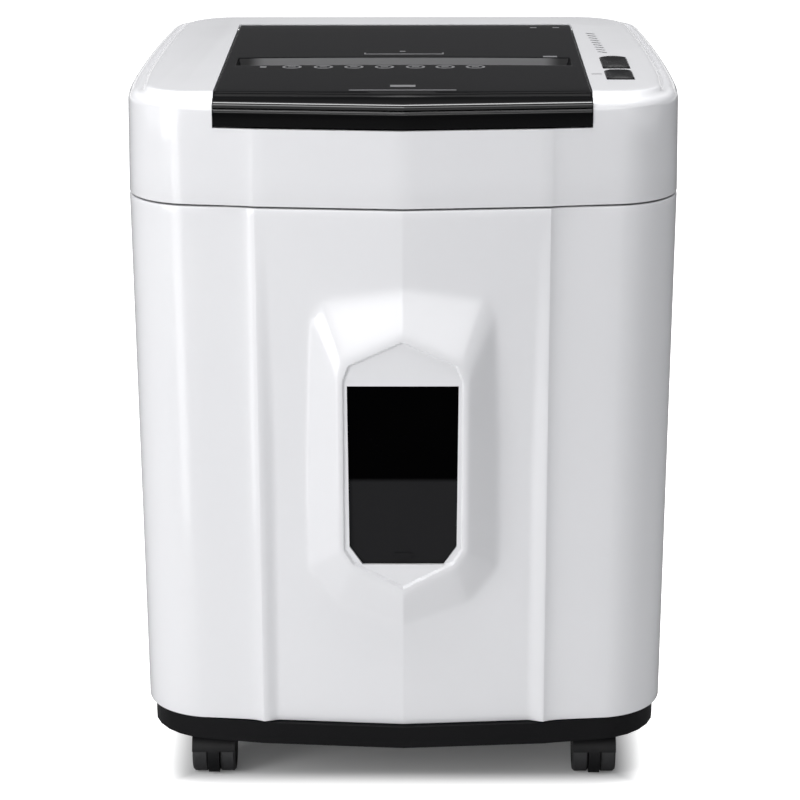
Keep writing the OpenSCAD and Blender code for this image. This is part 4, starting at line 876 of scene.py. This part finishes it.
# ---- Studio ----
# A seamless white floor that glows for the camera, but stays dark in the object's own shade.
# A tall softbox to the left, a weak one in front and one overhead light the object, and two
# strips are seen in its gloss alone.
CAMERA_RAY, GLOSSY_RAY, THROUGH_RAY = 0, 3, 6
SHADE_X, SHADE_Y = 0.16, 0.135
sweep = bpy.data.materials.new("white_sweep")
sweep.use_nodes = True
tree = sweep.node_tree
tree.nodes.clear()
start = Signal(tree)
seen, glossy = (start.node("LightPath", {}, {}, out=k) for k in (CAMERA_RAY, GLOSSY_RAY))
cloth = start.node("BsdfDiffuse", {}, {"Color": glossy.mix((0.8, 0.8, 0.8, 1), (0.3, 0.3, 0.3, 1))})
ground = start.node("NewGeometry", {}, {})
beside = ground.part("X").size() - SHADE_X
before = ground.part("Y").size() - SHADE_Y
clear = beside.maths("MAXIMUM", beside, before).rise(-0.012, 0.03)
glow = start.node("Emission", {}, {"Strength": seen * (0.05 + clear * 1.1)})
both = start.node("AddShader", {}, {0: cloth, 1: glow})
output = tree.nodes.new("ShaderNodeOutputMaterial")
tree.links.new(both.socket, output.inputs[0])

mesh = bpy.data.meshes.new("floor")
mesh.from_pydata([(-9, -9, 0), (9, -9, 0), (9, 9, 0), (-9, 9, 0)], [], [(0, 1, 2, 3)])
mesh.materials.append(sweep)
floor = bpy.data.objects.new("floor", mesh)
bpy.context.scene.collection.objects.link(floor)

world = bpy.data.worlds.new("studio")
bpy.context.scene.world = world
world.use_nodes = True
tree = world.node_tree
tree.nodes.clear()
start = Signal(tree)
seen, glossy, through = (start.node("LightPath", {}, {}, out=k)
                         for k in (CAMERA_RAY, GLOSSY_RAY, THROUGH_RAY))
height = start.node("TexCoord", {}, {}).part("Z")
reflected = height.rise(0.0, 0.1).mix((1, 1, 1, 1), (0.16, 0.16, 0.165, 1))
around = glossy.maths("MAXIMUM", glossy, through).mix((0.26, 0.265, 0.275, 1), reflected)
sky = start.node("Background", {}, {"Color": seen.mix(around, (1, 1, 1, 1)), "Strength": 1.0})
output = tree.nodes.new("ShaderNodeOutputWorld")
tree.links.new(sky.socket, output.inputs[0])


def softbox(name, place, aim, width, height, power, gloss_only=False):
    """A lamp of width by height metres and power watts, turned towards aim."""
    lamp = bpy.data.lights.new(name, "AREA")
    lamp.shape, lamp.size, lamp.size_y, lamp.energy = "RECTANGLE", width, height, power
    made = bpy.data.objects.new(name, lamp)
    made.location = place
    made.rotation_euler = (Vector(aim) - Vector(place)).to_track_quat("-Z", "Y").to_euler()
    made.visible_diffuse = not gloss_only
    bpy.context.scene.collection.objects.link(made)


softbox("left_softbox", (-1.62, -1.42, 0.95), (0, -0.1, 0.28), 0.8, 1.6, 24)
softbox("front_softbox", (-0.6, -2.6, 1.5), (0, 0, 0.3), 1.6, 1.2, 10)
softbox("top_softbox", (0.0, -0.15, 1.9), (0, -0.05, 0.5), 1.6, 0.9, 30)
softbox("corner_strip", (-0.50, -0.58, 0.26), (-0.15, -0.15, 0.26), 0.13, 0.6, 0.5,
        gloss_only=True)
softbox("front_strip", (0.0, -2.3, 1.05), (0, -0.17, 0.5), 2.8, 0.9, 13, gloss_only=True)

# The camera stands in front of the object and looks down on it by 17 degrees.
camera = bpy.data.objects.new("camera", bpy.data.cameras.new("camera"))
camera.data.lens, camera.data.sensor_width = 119.57, 36
camera.matrix_world = (Matrix.Translation((0.01306, -1.9005, 0.8381))
                       @ Matrix.Rotation(math.radians(0.497), 4, "Z")
                       @ Matrix.Rotation(math.radians(90 - 17.332), 4, "X")
                       @ Matrix.Rotation(math.radians(-0.128), 4, "Z"))
bpy.context.scene.collection.objects.link(camera)
bpy.context.scene.camera = camera
bpy.context.scene.view_settings.view_transform = "Standard"
